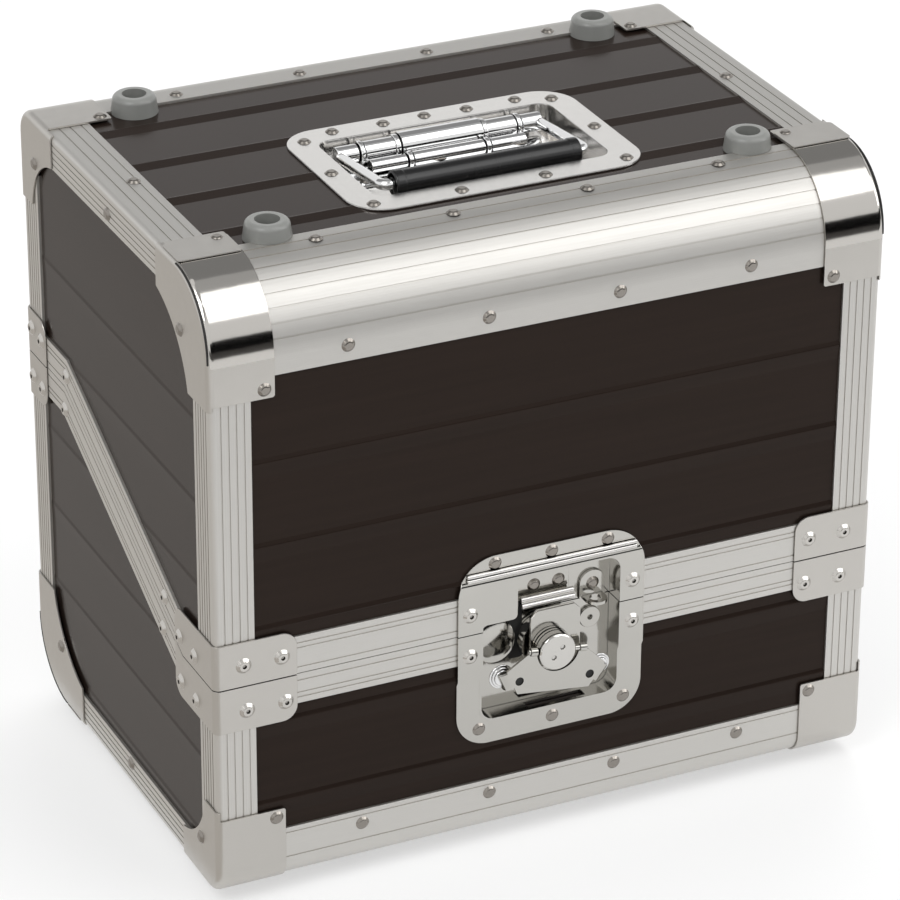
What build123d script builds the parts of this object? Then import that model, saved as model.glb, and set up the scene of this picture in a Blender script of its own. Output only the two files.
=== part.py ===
from build123d import *
import os
from math import cos, radians, sin, tan

os.makedirs("parts", exist_ok=True)

# Case body, over the edge profiles
width = 406.0
depth = 278.0
height = 370.0
round_radius = 44.0
small_radius = 14.0
edge_radius = 3.0

# Boards and the sheet metal on them
board = 8.0
sink = 1.6
cap_sheet = 1.2
rib_pitch = 50.5
rib_depth = 0.9
rib_step = 2.5
rib_ramp = 11.5
front_rib_lid = 266.5
front_rib_base = 55.0
side_rib_lid = 287.0
side_rib_base = 28.0
top_rib = 88.0

# Rubber feet, on the lid and underneath
foot_height = 11.0
foot_radius = 13.7
foot_top_radius = 12.2
foot_bore = 7.0
foot_recess = 8.0
foot_round = 3.5
foot_inset = 57.5
top_foot_front = 55.0
top_foot_rear = 31.0
base_foot_inset = 67.0
screw_radius = 4.5
screw_head = 2.0
screw_shank = 2.2
screw_slot = 1.2
screw_slot_length = 6.3

# Parting between base and lid, as heights over the underside of the body
front_part = 131.5
rear_part = 217.5
front_flat = 44.0
rear_flat = 57.0
part_gap = 0.4

# Closure profiles along the parting
front_band_lid = 23.0
front_band_base = 18.5
side_band = 18.5
channel_depth = 4.0
channel_wall = 1.5
web = 2.0
tongue_height = 3.0
tongue = 2.4
inner_leg = 12.0

# Edge profiles: widths of their legs
round_leg_front = 55.0
round_leg_top = 49.5
small_leg_face = 34.5
small_leg_flat = 29.0
edge_leg_front = 23.5
edge_leg_side = 23.0
side_leg_top = 26.0
side_leg_side = 20.0
groove = 0.9
groove_depth = 0.35
round_grooves = 8
round_groove_start = 94.0
round_groove_sweep = 84.0
face_groove = 3.0
bend_groove = 2.0
side_leg_grooves = (5.0, 3.5, 4)
top_leg_grooves = (8.0, 5.0, 3)
front_leg_grooves = (6.0, 4.0, 4)
edge_leg_grooves = (6.0, 3.5, 5)
closure_groove = 4.0
closure_groove_pair = (7.0, 4.0)
butt = 0.2

# Corner caps
round_cap_x = 37.0
round_cap_front = 67.0
round_cap_top = 67.0
round_cap_curve = 62.0
round_cap_run = 70.0
round_cap_drop = 70.0
round_cap_side = 22.0
round_cap_upright = 26.0
small_cap_x = 40.0
small_cap_face = 48.5
small_cap_flat = 41.0
small_cap_rise = 54.0
small_cap_run = 50.0
small_cap_curve = 39.0
small_cap_side = 19.0
small_cap_upright = 17.0
tab_radius = 1.5
reach = 3.0

# Parting plates at the upright edges
plate_height = 27.5
plate_front = 48.0
plate_side_front = 55.5
plate_side_rear = 29.0
plate_radius = 9.0
plate_slope = 6.0

# Twist latch
latch_width = 116.0
latch_top = 178.0
latch_bottom = 59.0
latch_radius_top = 24.0
latch_radius_bottom = 20.0
latch_sheet = 1.5
pan_half_width = 42.5
pan_top = 161.0
pan_bottom = 74.0
pan_depth = 12.0
joggle_top = 165.0
joggle_bottom = 100.0
joggle_ramp = 3.0
pan_clearance = 0.5
cam_height = 113.5
cam_radius = 16.0
cam_front = 4.0
cam_gap = 0.4
cam_neck_radius = 8.0
cam_neck_gap = 0.4
cam_shaft_radius = 5.0
cam_shaft_play = 0.5
cam_retainer_radius = 7.0
cam_retainer = 1.0
boss_back = 2.0
boss_radius = 11.2
boss_proud = 10.5
boss_edge = 0.8
boss_groove = 0.8
boss_groove_back = 1.6
boss_groove_front = 2.4
dimple_reach = 3.9
dimple_angle = 54.0
dimple_radius = 1.6
cam_turn = -7.0
hook_width = 31.0
hook_top = 137.5
hook_aside = 2.5
hook_bottom = 92.0
hook_sheet = 2.5
hook_front = 1.5
wing_sheet = 1.5
wing_front = 7.5
wing_top = 17.5
wing_shoulder_x = 31.0
wing_shoulder = 11.0
wing_foot = 22.5
wing_drop = 25.5
wing_ear_start = 13.5
wing_ear_radius = 2.4
wing_lip_radius = 5.5
wing_lip_start = 1.2
wing_lip_length = 10.8
wing_hole_radius = 2.6
wing_hole_x = 22.2
wing_hole_drop = 17.5
boss_window = 13.2
wing_aside = 1.6
axle_end = 17.0
axle_radius = 1.5
run_fit = 0.05
keeper_width = 32.0
keeper_top = 155.0
keeper_bottom = 137.0
keeper_sheet = 2.0
lip_radius = 2.5
lip_front = 4.0
lip_height = 139.5
staple_x = 31.0
staple_plate_half = 8.0
staple_plate_top = 149.0
staple_height = 132.0
staple_ring_radius = 6.5
staple_ring_depth = 5.5
staple_hole_radius = 3.6
staple_sheet = 2.0
washer_x = 30.0
washer_height = 119.0
washer_radius = 6.5
washer_bore = 1.5
hook_travel = 8.0
hook_chamfer = 4.0
pan_radius = 8.0
pan_slot_half = 18.0
pan_slot_x = 6.0
pan_slot_front = 2.5
pan_slot_back = 9.0
bush_radius = 15.5
bush_height = 2.0

# Sprung handle in the lid
handle_y = -21.0
handle_length = 178.0
handle_width = 119.0
handle_radius = 22.0
dish_sheet = 1.5
dish_length = 144.0
dish_width = 83.0
dish_depth = 16.0
dish_radius = 8.0
pivot_y = 12.0
pivot_drop = 7.0
grip_y = -49.5
grip_radius = 7.4
grip_length = 113.0
grip_drop = 0.3
grip_edge = 1.2
rod_radius = 3.2
bail_half = 62.0
bail_bend = 5.0
cover_radius = 8.0
cover_bore = 6.2
cover_half = 25.0
saddle_radius = 5.2
saddle_half = 49.0
saddle_sheet = 1.5
saddle_front = 16.0
saddle_half_length = 64.0
spring_bore = 3.6
spring_half = 22.5
rod_end = 2.0

# Linings
foam = 10.0
foam_gap = 0.5

# Stop hinges on the back
hinge_inset = 85.0
leaf_length = 60.0
leaf_height = 18.0
leaf_sheet = 1.8
knuckle_radius = 3.6
pin_radius = 1.6
knuckles = 5
knuckle_gap = 0.4
hinge_gap = 0.4
pin_head_radius = 2.8
pin_head = 1.2

# Rivet heads
head_crown = 0.6
split_radius = 4.0
split_rise = 1.5
blind_radius = 4.6
blind_rise = 1.7
blind_bore = 1.3
blind_bore_depth = 1.0

# Places of the rivets: X from the middle, or inwards from the side faces on caps and plates,
# Y from the middle of the body, Z over its underside, a drop under its top
top_rear_rivets = (87.0 - width / 2, -39.0, 42.0, width / 2 - 82.0)
top_rear_rivet_y = 118.0
top_front_rivets = (79.0 - width / 2, -43.0, 38.0, width / 2 - 84.0)
top_front_rivet_y = -99.0
front_upper_rivets = (80.0 - width / 2, -40.0, 39.0, width / 2 - 83.0)
front_upper_rivet_drop = 45.7
front_lower_rivets = (87.0 - width / 2, -37.0, 42.0, width / 2 - 81.0)
front_lower_rivet_z = 26.0
side_top_rivet = (19.0, 12.0)
side_upper_rivet_y = 4.0
side_upper_rivet_drop = 13.0
side_lower_rivet = (-7.0, 14.7)
round_cap_top_rivet = (30.5, -79.0)
round_cap_front_rivet_in = 31.0
round_cap_front_rivet_drop = 61.6
round_cap_side_rivet_y = -102.0
round_cap_side_rivet_drop = 36.6
small_cap_flat_rivet = (34.5, 103.0)
small_cap_front_rivet = (34.5, 43.5)
small_cap_side_rivet = (-116.0, 26.7)
handle_rivets = (
    *[(side * x, y) for x, y in ((77, 24), (57, 31), (26, 30), (81, -22.5), (77, -70), (25.5, -73)) for side in (-1, 1)],
    (0, 31),
)
saddle_rivets = (-54.0, -5.0, 46.0)
saddle_rivet_y = -9.0
latch_upper_rivets = (-35.0, 0.0, 35.0)
latch_upper_rivet_z = 173.0
latch_lower_rivets = ((-44.0, 69.0), (2.0, 67.0), (47.0, 69.0))
latch_side_rivet_x = 50.5
latch_side_rivet_lid_z = 144.0
latch_side_rivet_base_z = 118.0
keeper_rivets = (-6.0, 9.4)
keeper_rivet_z = 148.0
staple_rivet_z = 141.0
lid_plate_front_rivets = ((16.3, 144.6), (39.0, 144.6))
base_plate_front_rivets = ((18.0, 116.2), (41.0, 116.2))
lid_plate_side_rivets = ((-90.5, 141.5), (-112.0, 140.2), (131.0, 234.0), (116.0, 232.0))
base_plate_side_rivets = ((-92.0, 114.0), (-113.5, 113.0), (131.0, 203.0), (116.5, 201.0))
lid_plate_rear_rivets = ((17.0, 231.0), (40.0, 231.0))
base_plate_rear_rivets = ((17.0, 204.0), (40.0, 204.0))
lid_strip_rivets = ((79.0, 225.0), (-66.4, 154.0))
base_strip_rivets = ((83.0, 202.5), (-63.5, 133.0))
leaf_rivets = (-20.0, 0.0, 20.0)
leaf_rivet_z = 11.5

# Levels worked out from the sizes above. The box round the whole case is centred on X and Y.
rear_reach = 2 * knuckle_radius + hinge_gap
whole_depth = depth + boss_proud + rear_reach
front = -whole_depth / 2 + boss_proud
rear = front + depth
mid = (front + rear) / 2
left = -width / 2
bottom = foot_height - sink
top = bottom + height
board_in = sink + board
mid_z = (bottom + top) / 2
inner_half = width / 2 - board_in
foot_x = width / 2 - foot_inset
hinge_x = width / 2 - hinge_inset
part_front_z = bottom + front_part
part_rear_z = bottom + rear_part
bend_front_y = front + front_flat
bend_rear_y = rear - rear_flat
half_gap = part_gap / 2
lid_edge = half_gap + channel_depth + web
base_edge = half_gap + web
board_top = top - sink


def parting(offset, start=front, end=rear):
    """Points (y, z) of the parting line, moved up by offset square to each stretch."""
    rise = Vector(bend_rear_y - bend_front_y, part_rear_z - part_front_z, 0).get_angle(Vector(1, 0, 0))
    shift = offset * tan(radians(rise) / 2)
    return [
        (start, part_front_z + offset),
        (bend_front_y - shift, part_front_z + offset),
        (bend_rear_y - shift, part_rear_z + offset),
        (end, part_rear_z + offset),
    ]


def band(near_offset, far_offset, start, end):
    """Closed points (y, z) of a strip that follows the parting between two offsets."""
    return parting(near_offset, start, end) + parting(far_offset, start, end)[::-1]


def save(part, name):
    """Label a finished piece and write it."""
    part.label = name
    export_step(part, f"parts/{name}.step")


def near(shapes, u, v):
    """The vertex of a sketch that lies closest to (u, v)."""
    return shapes.sort_by_distance((u, v, 0))[0]


def spread(first, last, count):
    """Evenly spaced places from first to last."""
    return [first + (last - first) * step / (count - 1) for step in range(count)]


def turned(part):
    """The same piece turned half a turn about the case's middle line along X."""
    return part.rotate(Axis((0, mid, mid_z), (1, 0, 0)), 180)


def twin(part):
    """A piece and its mirror image on the other side of the case."""
    with BuildPart() as pair:
        add(part)
        mirror(about=Plane.YZ)
    return pair.part


def case_outline(inset):
    """Outline of the whole case seen from the side, moved inwards by inset."""
    with BuildSketch() as outline:
        Polygon(
            (front + inset, bottom + inset),
            (rear - inset, bottom + inset),
            (rear - inset, top - inset),
            (front + inset, top - inset),
        )
        for radius, places in (
            (round_radius, ((front, top), (rear, bottom))),
            (small_radius, ((front, bottom), (rear, top))),
        ):
            fillet([near(outline.vertices(), *place) for place in places], radius - inset)
    return outline.sketch


def envelope(inset):
    """Solid filled case, moved inwards by inset, with softened side edges."""
    half = width / 2 - inset
    with BuildPart() as solid:
        with BuildSketch(Plane.YZ.offset(-half)):
            add(case_outline(inset))
        extrude(amount=2 * half)
        fillet(solid.faces().filter_by(Axis.X).edges(), edge_radius - inset)
    return solid.part


body_skin = envelope(0)
cap_skin = envelope(-cap_sheet)

# Boards

front_ribs_lid = [bottom + front_rib_lid - rib_pitch * step for step in range(3)]
front_ribs_base = [bottom + front_rib_base + rib_pitch * step for step in range(2)]
side_ribs_lid = [bottom + side_rib_lid - rib_pitch * step for step in range(4)]
side_ribs_base = [bottom + side_rib_base + rib_pitch * step for step in range(4)]
top_ribs = [mid + top_rib - rib_pitch * step for step in range(4)]


def side_board(upper, side):
    """Side board of the lid or of the base, with its creases; side is -1 on the left."""
    outer = width / 2 - sink
    with BuildPart() as panel:
        with BuildSketch(Plane.YZ.offset(side * outer)):
            add(case_outline(sink))
            edge = parting(lid_edge if upper else -base_edge, front - board, rear + board)
            level = bottom - board if upper else top + board
            Polygon(*edge, (rear + board, level), (front - board, level), mode=Mode.SUBTRACT)
        extrude(amount=-side * board)
        with BuildSketch(Plane.XZ.offset(-rear)):
            for z in side_ribs_lid if upper else side_ribs_base:
                Polygon((side * outer, z), (side * (outer - rib_depth), z - rib_step), (side * outer, z - rib_ramp))
        extrude(amount=depth, mode=Mode.SUBTRACT)
    return panel.part


save(side_board(True, -1), "lid_panel_left")
save(side_board(True, 1), "lid_panel_right")
save(side_board(False, -1), "base_panel_left")
save(side_board(False, 1), "base_panel_right")

pan_half = pan_half_width + latch_sheet + pan_clearance
pan_top_z = bottom + pan_top
pan_bottom_z = bottom + pan_bottom
cut_top = pan_top_z + latch_sheet + pan_clearance
cut_bottom = pan_bottom_z - latch_sheet - pan_clearance


def upright_board(face_y, inward, low, high, ribs, opening=(0, 0)):
    """Front or back board between the side boards; inward is the sign of Y into the case."""
    outer = face_y + inward * sink
    inner = outer + inward * board
    with BuildPart() as panel:
        with BuildSketch(Plane.YZ.offset(-inner_half)):
            Polygon((outer, low), (outer, high), (inner, high), (inner, low))
            for z in ribs:
                crease = (outer + inward * rib_depth, z - rib_step)
                Polygon((outer, z), crease, (outer, z - rib_ramp), mode=Mode.SUBTRACT)
        extrude(amount=2 * inner_half)
        if opening[1] > opening[0]:
            with BuildSketch(Plane.XZ.offset(-inner - board)):
                with Locations((0, (opening[0] + opening[1]) / 2)):
                    Rectangle(2 * pan_half, opening[1] - opening[0])
            extrude(amount=3 * board, mode=Mode.SUBTRACT)
    return panel.part


save(
    upright_board(front, 1, part_front_z + lid_edge, top - round_radius, front_ribs_lid, (part_front_z, cut_top)),
    "lid_panel_front",
)
save(
    upright_board(rear, -1, part_rear_z + lid_edge, top - small_radius, side_ribs_lid[:2]),
    "lid_panel_rear",
)
save(
    upright_board(
        front, 1, bottom + small_radius, part_front_z - base_edge, front_ribs_base, (cut_bottom, part_front_z)
    ),
    "base_panel_front",
)
save(
    upright_board(rear, -1, bottom + round_radius, part_rear_z - base_edge, side_ribs_base[1:]),
    "base_panel_rear",
)

handle_mid = mid + handle_y
dish_cut_length = dish_length + 2 * (dish_sheet + pan_clearance)
dish_cut_width = dish_width + 2 * (dish_sheet + pan_clearance)

with BuildPart() as lid_panel_top:
    with BuildSketch(Plane.YZ.offset(-inner_half)):
        Polygon(
            (front + round_radius, board_top),
            (rear - small_radius, board_top),
            (rear - small_radius, board_top - board),
            (front + round_radius, board_top - board),
        )
        for y in top_ribs:
            crease = (y - rib_step, board_top - rib_depth)
            Polygon((y, board_top), crease, (y - rib_ramp, board_top), mode=Mode.SUBTRACT)
    extrude(amount=2 * inner_half)
    with BuildSketch(Plane.XY.offset(board_top - board)):
        with Locations((0, handle_mid)):
            RectangleRounded(dish_cut_length, dish_cut_width, dish_radius + dish_sheet)
    extrude(amount=board, mode=Mode.SUBTRACT)
save(lid_panel_top.part, "lid_panel_top")

with BuildPart() as base_panel_bottom:
    with BuildSketch(Plane.XY.offset(bottom + sink)):
        with Locations((0, (front + small_radius + rear - round_radius) / 2)):
            Rectangle(2 * inner_half, depth - small_radius - round_radius)
    extrude(amount=board)
save(base_panel_bottom.part, "base_panel_bottom")

# Edge profiles

with BuildPart() as round_profile:
    with BuildSketch(Plane.YZ.offset(left)):
        add(case_outline(0))
        add(case_outline(sink), mode=Mode.SUBTRACT)
        with Locations((front + round_leg_top / 2, top - round_leg_front / 2)):
            Rectangle(round_leg_top, round_leg_front, mode=Mode.INTERSECT)
        with Locations((front + round_radius, top - round_radius)):
            with PolarLocations(round_radius, round_grooves, round_groove_start, round_groove_sweep):
                Rectangle(2 * groove_depth, groove, mode=Mode.SUBTRACT)
    extrude(amount=width)
    add(body_skin, mode=Mode.INTERSECT)
save(round_profile.part, "lid_profile_round_front")
save(turned(round_profile.part), "base_profile_round_rear")

with BuildPart() as tight_profile:
    with BuildSketch(Plane.YZ.offset(left)):
        add(case_outline(0))
        add(case_outline(sink), mode=Mode.SUBTRACT)
        with Locations((front + small_leg_flat / 2, bottom + small_leg_face / 2)):
            Rectangle(small_leg_flat, small_leg_face, mode=Mode.INTERSECT)
        with Locations((front, bottom + small_leg_face - face_groove), (front, bottom + small_radius + bend_groove)):
            Rectangle(2 * groove_depth, groove, mode=Mode.SUBTRACT)
    extrude(amount=width)
    add(body_skin, mode=Mode.INTERSECT)
save(tight_profile.part, "base_profile_bottom_front")
save(turned(tight_profile.part), "lid_profile_top_rear")


def leg_places(leg, grooves):
    """Places of the grooves on a leg, from their first and last margin and their number."""
    first, last, count = grooves
    return spread(first, leg - last, count)


def angle_pair(plane, leg_x, leg_y, length, grooves_x, grooves_y):
    """L profile whose outer corner is the plane's origin, and its twin on the other side."""
    with BuildPart() as profile:
        with BuildSketch(plane) as section:
            Polygon((0, 0), (leg_x, 0), (leg_x, sink), (sink, sink), (sink, leg_y), (0, leg_y))
            fillet(near(section.vertices(), 0, 0), edge_radius)
            with Locations(*[(place, 0) for place in leg_places(leg_x, grooves_x)]):
                Rectangle(groove, 2 * groove_depth, mode=Mode.SUBTRACT)
            with Locations(*[(0, place) for place in leg_places(leg_y, grooves_y)]):
                Rectangle(2 * groove_depth, groove, mode=Mode.SUBTRACT)
        extrude(amount=length)
    return twin(profile.part)


profile_front_end = front + round_leg_top + butt
profile_rear_end = rear - small_leg_flat - butt
side_profiles = angle_pair(
    Plane((left, profile_rear_end, top), x_dir=(0, 0, -1), z_dir=(0, -1, 0)),
    side_leg_side,
    side_leg_top,
    profile_rear_end - profile_front_end,
    side_leg_grooves,
    top_leg_grooves,
)
save(side_profiles, "lid_profiles_top_side")
save(turned(side_profiles), "base_profiles_bottom_side")


def upright_pair(y, low, high):
    """Profiles on the left and right upright edges at the front or at the back."""
    if y == front:
        plane = Plane((left, front, low), x_dir=(1, 0, 0), z_dir=(0, 0, 1))
        return angle_pair(plane, edge_leg_front, edge_leg_side, high - low, front_leg_grooves, edge_leg_grooves)
    plane = Plane((left, rear, low), x_dir=(0, -1, 0), z_dir=(0, 0, 1))
    return angle_pair(plane, edge_leg_side, edge_leg_front, high - low, edge_leg_grooves, front_leg_grooves)


save(upright_pair(front, part_front_z + half_gap, top - round_leg_front - butt), "lid_profiles_front_edge")
save(upright_pair(rear, part_rear_z + half_gap, top - small_leg_face - butt), "lid_profiles_rear_edge")
save(upright_pair(front, bottom + small_leg_face + butt, part_front_z - half_gap), "base_profiles_front_edge")
save(upright_pair(rear, bottom + round_leg_front + butt, part_rear_z - half_gap), "base_profiles_rear_edge")

# Closure profiles along the parting: a tongue on the base runs in a channel of the lid

leg_depth = board_in + channel_wall
tongue_mid = sink + board / 2


def closure_grooves(face_band):
    """Heights of the grooves over the parting on a closure profile of the given width."""
    return [closure_groove, *[face_band - margin for margin in closure_groove_pair]]


def side_closure(upper, side):
    """Closure profile along one side, its face between the upright profiles."""
    way = 1 if upper else -1
    face_x = side * width / 2
    face_ends = (front + edge_leg_side + butt, rear - edge_leg_side - butt)
    long_ends = (front + sink, rear - sink)
    inner_ends = (front + board_in, rear - board_in)
    tongue_ends = (front + leg_depth, rear - leg_depth)
    web_low = half_gap + channel_depth if upper else -base_edge
    with BuildPart() as strip:
        with BuildSketch(Plane.YZ.offset(face_x)):
            Polygon(*band(way * half_gap, way * (half_gap + side_band), *face_ends))
        extrude(amount=-side * sink)
        with BuildSketch(Plane.YZ.offset(face_x - side * sink)):
            Polygon(*band(web_low, web_low + web, *long_ends))
        extrude(amount=-side * (leg_depth - sink))
        with BuildSketch(Plane.YZ.offset(face_x - side * board_in)):
            Polygon(*band(way * half_gap, way * inner_leg, *inner_ends))
        extrude(amount=-side * channel_wall)
        if not upper:
            with BuildSketch(Plane.YZ.offset(face_x - side * (tongue_mid - tongue / 2))):
                Polygon(*band(-base_edge, tongue_height, *tongue_ends))
            extrude(amount=-side * tongue)
        with BuildSketch(Plane.YZ.offset(face_x)):
            for place in closure_grooves(side_band):
                centre = way * (half_gap + place)
                Polygon(*band(centre - groove / 2, centre + groove / 2, front, rear))
        extrude(amount=-side * groove_depth, mode=Mode.SUBTRACT)
    return strip.part


save(side_closure(True, -1), "lid_closure_left")
save(side_closure(True, 1), "lid_closure_right")
save(side_closure(False, -1), "base_closure_left")
save(side_closure(False, 1), "base_closure_right")


def straight_closure(upper, face_y, inward, level, face_band, clear_half):
    """Closure profile across the front or the back; clear_half is half the gap left for a latch."""
    way = 1 if upper else -1
    web_low = half_gap + channel_depth if upper else -base_edge
    long_half = width / 2 - leg_depth - butt
    face_half = width / 2 - edge_leg_front - butt

    def block(shallow, deep, low, high, half):
        with Locations((0, face_y + inward * (shallow + deep) / 2, level + (low + high) / 2)):
            Box(2 * half, deep - shallow, abs(high - low))

    with BuildPart() as strip:
        block(0, sink, way * half_gap, way * (half_gap + face_band), face_half)
        block(sink, leg_depth, web_low, web_low + web, long_half)
        block(board_in, leg_depth, way * half_gap, way * inner_leg, long_half)
        if not upper and inward > 0:
            block(tongue_mid - tongue / 2, tongue_mid + tongue / 2, -base_edge, tongue_height, long_half - web)
        for place in closure_grooves(face_band):
            with Locations((0, face_y, level + way * (half_gap + place))):
                Box(width, 2 * groove_depth, groove, mode=Mode.SUBTRACT)
        if clear_half:
            with Locations((0, face_y, level)):
                Box(2 * clear_half, 4 * leg_depth, 4 * face_band, mode=Mode.SUBTRACT)
    return strip.part


save(straight_closure(True, front, 1, part_front_z, front_band_lid, pan_half), "lid_closure_front")
save(straight_closure(False, front, 1, part_front_z, front_band_base, pan_half), "base_closure_front")
save(straight_closure(True, rear, -1, part_rear_z, side_band, 0), "lid_closure_rear")
save(straight_closure(False, rear, -1, part_rear_z, side_band, 0), "base_closure_rear")

# Sheet metal corner caps, pressed over the profiles


def window(corner_y, corner_z, radius, upwards):
    """Uncovered part of the side face beside a cap, as an outline with one rounded corner."""
    far_y = corner_y + 2 * radius
    far_z = corner_z + (2 * radius if upwards else -2 * radius)
    with BuildSketch() as opening:
        Polygon((corner_y, corner_z), (far_y, corner_z), (far_y, far_z), (corner_y, far_z))
        fillet(near(opening.vertices(), corner_y, corner_z), radius)
    return opening.sketch


def corner_pair(high_y, edge_z, face_x, side_y, side_z, opening):
    """Front cap on the left and its twin, with flanges as far as high_y, edge_z and face_x."""
    upwards = side_z < mid_z
    corner_z = bottom - reach if upwards else top + reach
    with BuildPart() as cap:
        with Locations(((left + face_x) / 2, (front - reach + high_y) / 2, (corner_z + edge_z) / 2)):
            block = Box(face_x - left, high_y - front + reach, abs(corner_z - edge_z))
        inner = block.edges().group_by(Axis.X)[-1]
        level = inner.filter_by(Axis.Y).sort_by(Axis.Z)[-1 if upwards else 0]
        fillet([level, inner.filter_by(Axis.Z).sort_by(Axis.Y)[-1]], tab_radius)
        with BuildSketch(Plane.YZ.offset(left - reach)):
            Polygon((front - reach, corner_z), (side_y, corner_z), (side_y, side_z), (front - reach, side_z))
            add(opening, mode=Mode.SUBTRACT)
        extrude(amount=reach + cap_sheet)
        add(cap_skin, mode=Mode.INTERSECT)
        add(body_skin, mode=Mode.SUBTRACT)
    return twin(cap.part)


round_corners = corner_pair(
    front + round_cap_top,
    top - round_cap_front,
    left + round_cap_x,
    front + round_cap_run,
    top - round_cap_drop,
    window(front + round_cap_upright, top - round_cap_side, round_cap_curve, False),
)
small_corners = corner_pair(
    front + small_cap_flat,
    bottom + small_cap_face,
    left + small_cap_x,
    front + small_cap_run,
    bottom + small_cap_rise,
    window(front + small_cap_upright, bottom + small_cap_side, small_cap_curve, True),
)
save(round_corners, "lid_corners_front")
save(turned(small_corners), "lid_corners_rear")
save(small_corners, "base_corners_front")
save(turned(round_corners), "base_corners_rear")

# Plates bent round the upright edges, above and below the parting


def facing(y):
    """Upright plane at depth y that looks forwards, with X to the right and Z up."""
    return Plane.XZ.offset(-y)


def plate(upper, face_y, inward, level, side_length):
    """Parting plate on the left upright edge, at the front or at the back."""
    far_z = level + plate_height if upper else level - plate_height
    near_z = level if upper else level + plate_slope
    outside = face_y - inward * reach
    side_end = face_y + inward * side_length
    front_end = left + plate_front
    with BuildPart() as sheet:
        with BuildSketch(facing(max(outside, outside + 2 * inward * reach))) as tab:
            Polygon((left - reach, near_z), (front_end, near_z), (front_end, far_z), (left - reach, far_z))
            fillet(near(tab.vertices(), front_end, far_z), plate_radius)
        extrude(amount=2 * reach)
        with BuildSketch(Plane.YZ.offset(left - reach)) as wing:
            Polygon((outside, near_z), (side_end, near_z), (side_end, far_z), (outside, far_z))
            fillet(near(wing.vertices(), side_end, far_z), plate_radius)
        extrude(amount=2 * reach)
        with BuildSketch(Plane.YZ.offset(left - reach)):
            split = parting(half_gap if upper else -half_gap, front - reach, rear + reach)
            beyond = bottom if upper else top
            Polygon(*split, (rear + reach, beyond), (front - reach, beyond))
        extrude(amount=width, mode=Mode.SUBTRACT)
        add(cap_skin, mode=Mode.INTERSECT)
        add(body_skin, mode=Mode.SUBTRACT)
    return sheet.part


def plates(upper):
    """All four parting plates of the lid or of the base."""
    with BuildPart() as group:
        add(twin(plate(upper, front, 1, part_front_z, plate_side_front)))
        add(twin(plate(upper, rear, -1, part_rear_z, plate_side_rear)))
    return group.part


save(plates(True), "lid_plates")
save(plates(False), "base_plates")

# Rubber feet

with BuildPart() as rubber_foot:
    with BuildSketch(Plane.XZ):
        Polygon((0, 0), (foot_radius, 0), (foot_top_radius, foot_height), (0, foot_height))
    revolve(axis=Axis.Z)
    fillet(rubber_foot.faces().sort_by(Axis.Z)[-1].edges(), foot_round)
    with Locations((0, 0, foot_height)):
        Hole(foot_bore, foot_recess)
    with Locations((0, 0, foot_height - foot_recess)):
        Hole(screw_shank)

with BuildPart() as foot_screw:
    with Locations((0, 0, foot_height - foot_recess)):
        Cylinder(screw_radius, screw_head, align=(Align.CENTER, Align.CENTER, Align.MIN))
        Cylinder(screw_shank, foot_height - foot_recess - sink, align=(Align.CENTER, Align.CENTER, Align.MAX))
    with Locations((0, 0, foot_height - foot_recess + screw_head)):
        Box(screw_slot_length, screw_slot, screw_head, mode=Mode.SUBTRACT)
        Box(screw_slot, screw_slot_length, screw_head, mode=Mode.SUBTRACT)

top_seats = [
    Plane((side * foot_x, y, board_top)) for side in (-1, 1) for y in (front + top_foot_front, rear - top_foot_rear)
]
base_seats = [
    Plane((side * foot_x, y, bottom + sink), z_dir=(0, 0, -1))
    for side in (-1, 1)
    for y in (front + base_foot_inset, rear - base_foot_inset)
]

with BuildPart() as top_feet:
    with Locations(*top_seats):
        add(rubber_foot.part)
    for face_y, end_y in ((front, profile_front_end), (rear, profile_rear_end)):
        with Locations((0, (face_y + end_y) / 2, top - sink / 2)):
            Box(width, abs(end_y - face_y), sink, mode=Mode.SUBTRACT)
save(top_feet.part, "top_feet")

with BuildPart() as top_foot_screws:
    with Locations(*top_seats):
        add(foot_screw.part)
save(top_foot_screws.part, "top_foot_screws")

with BuildPart() as base_feet:
    with Locations(*base_seats):
        add(rubber_foot.part)
save(base_feet.part, "base_feet")

with BuildPart() as base_foot_screws:
    with Locations(*base_seats):
        add(foot_screw.part)
save(base_foot_screws.part, "base_foot_screws")

# Sprung handle in its dish

dish_floor = top - dish_depth
pivot_line_y = mid + pivot_y
pivot_line_z = top - pivot_drop
grip_line_y = mid + grip_y
grip_line_z = top - grip_drop

with BuildPart() as handle_dish:
    with BuildSketch(Plane.XY.offset(board_top)):
        with Locations((0, handle_mid)):
            RectangleRounded(handle_length, handle_width, handle_radius)
    extrude(amount=dish_sheet)
    with BuildSketch(Plane.XY.offset(dish_floor - dish_sheet)):
        with Locations((0, handle_mid)):
            RectangleRounded(dish_length + 2 * dish_sheet, dish_width + 2 * dish_sheet, dish_radius + dish_sheet)
    extrude(until=Until.LAST)
    with BuildSketch(Plane.XY.offset(dish_floor)):
        with Locations((0, handle_mid)):
            RectangleRounded(dish_length, dish_width, dish_radius)
    extrude(amount=dish_depth + dish_sheet, mode=Mode.SUBTRACT)
save(handle_dish.part, "handle_dish")


def arch(radius):
    """Section of a strap that stands on the dish floor and closes over the pivot rod."""
    rise = pivot_line_z - dish_floor
    with BuildSketch() as section:
        with Locations((pivot_line_y, pivot_line_z)):
            Circle(radius)
        with Locations((pivot_line_y, dish_floor + rise / 2)):
            Rectangle(2 * radius, rise)
    return section.sketch


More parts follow.
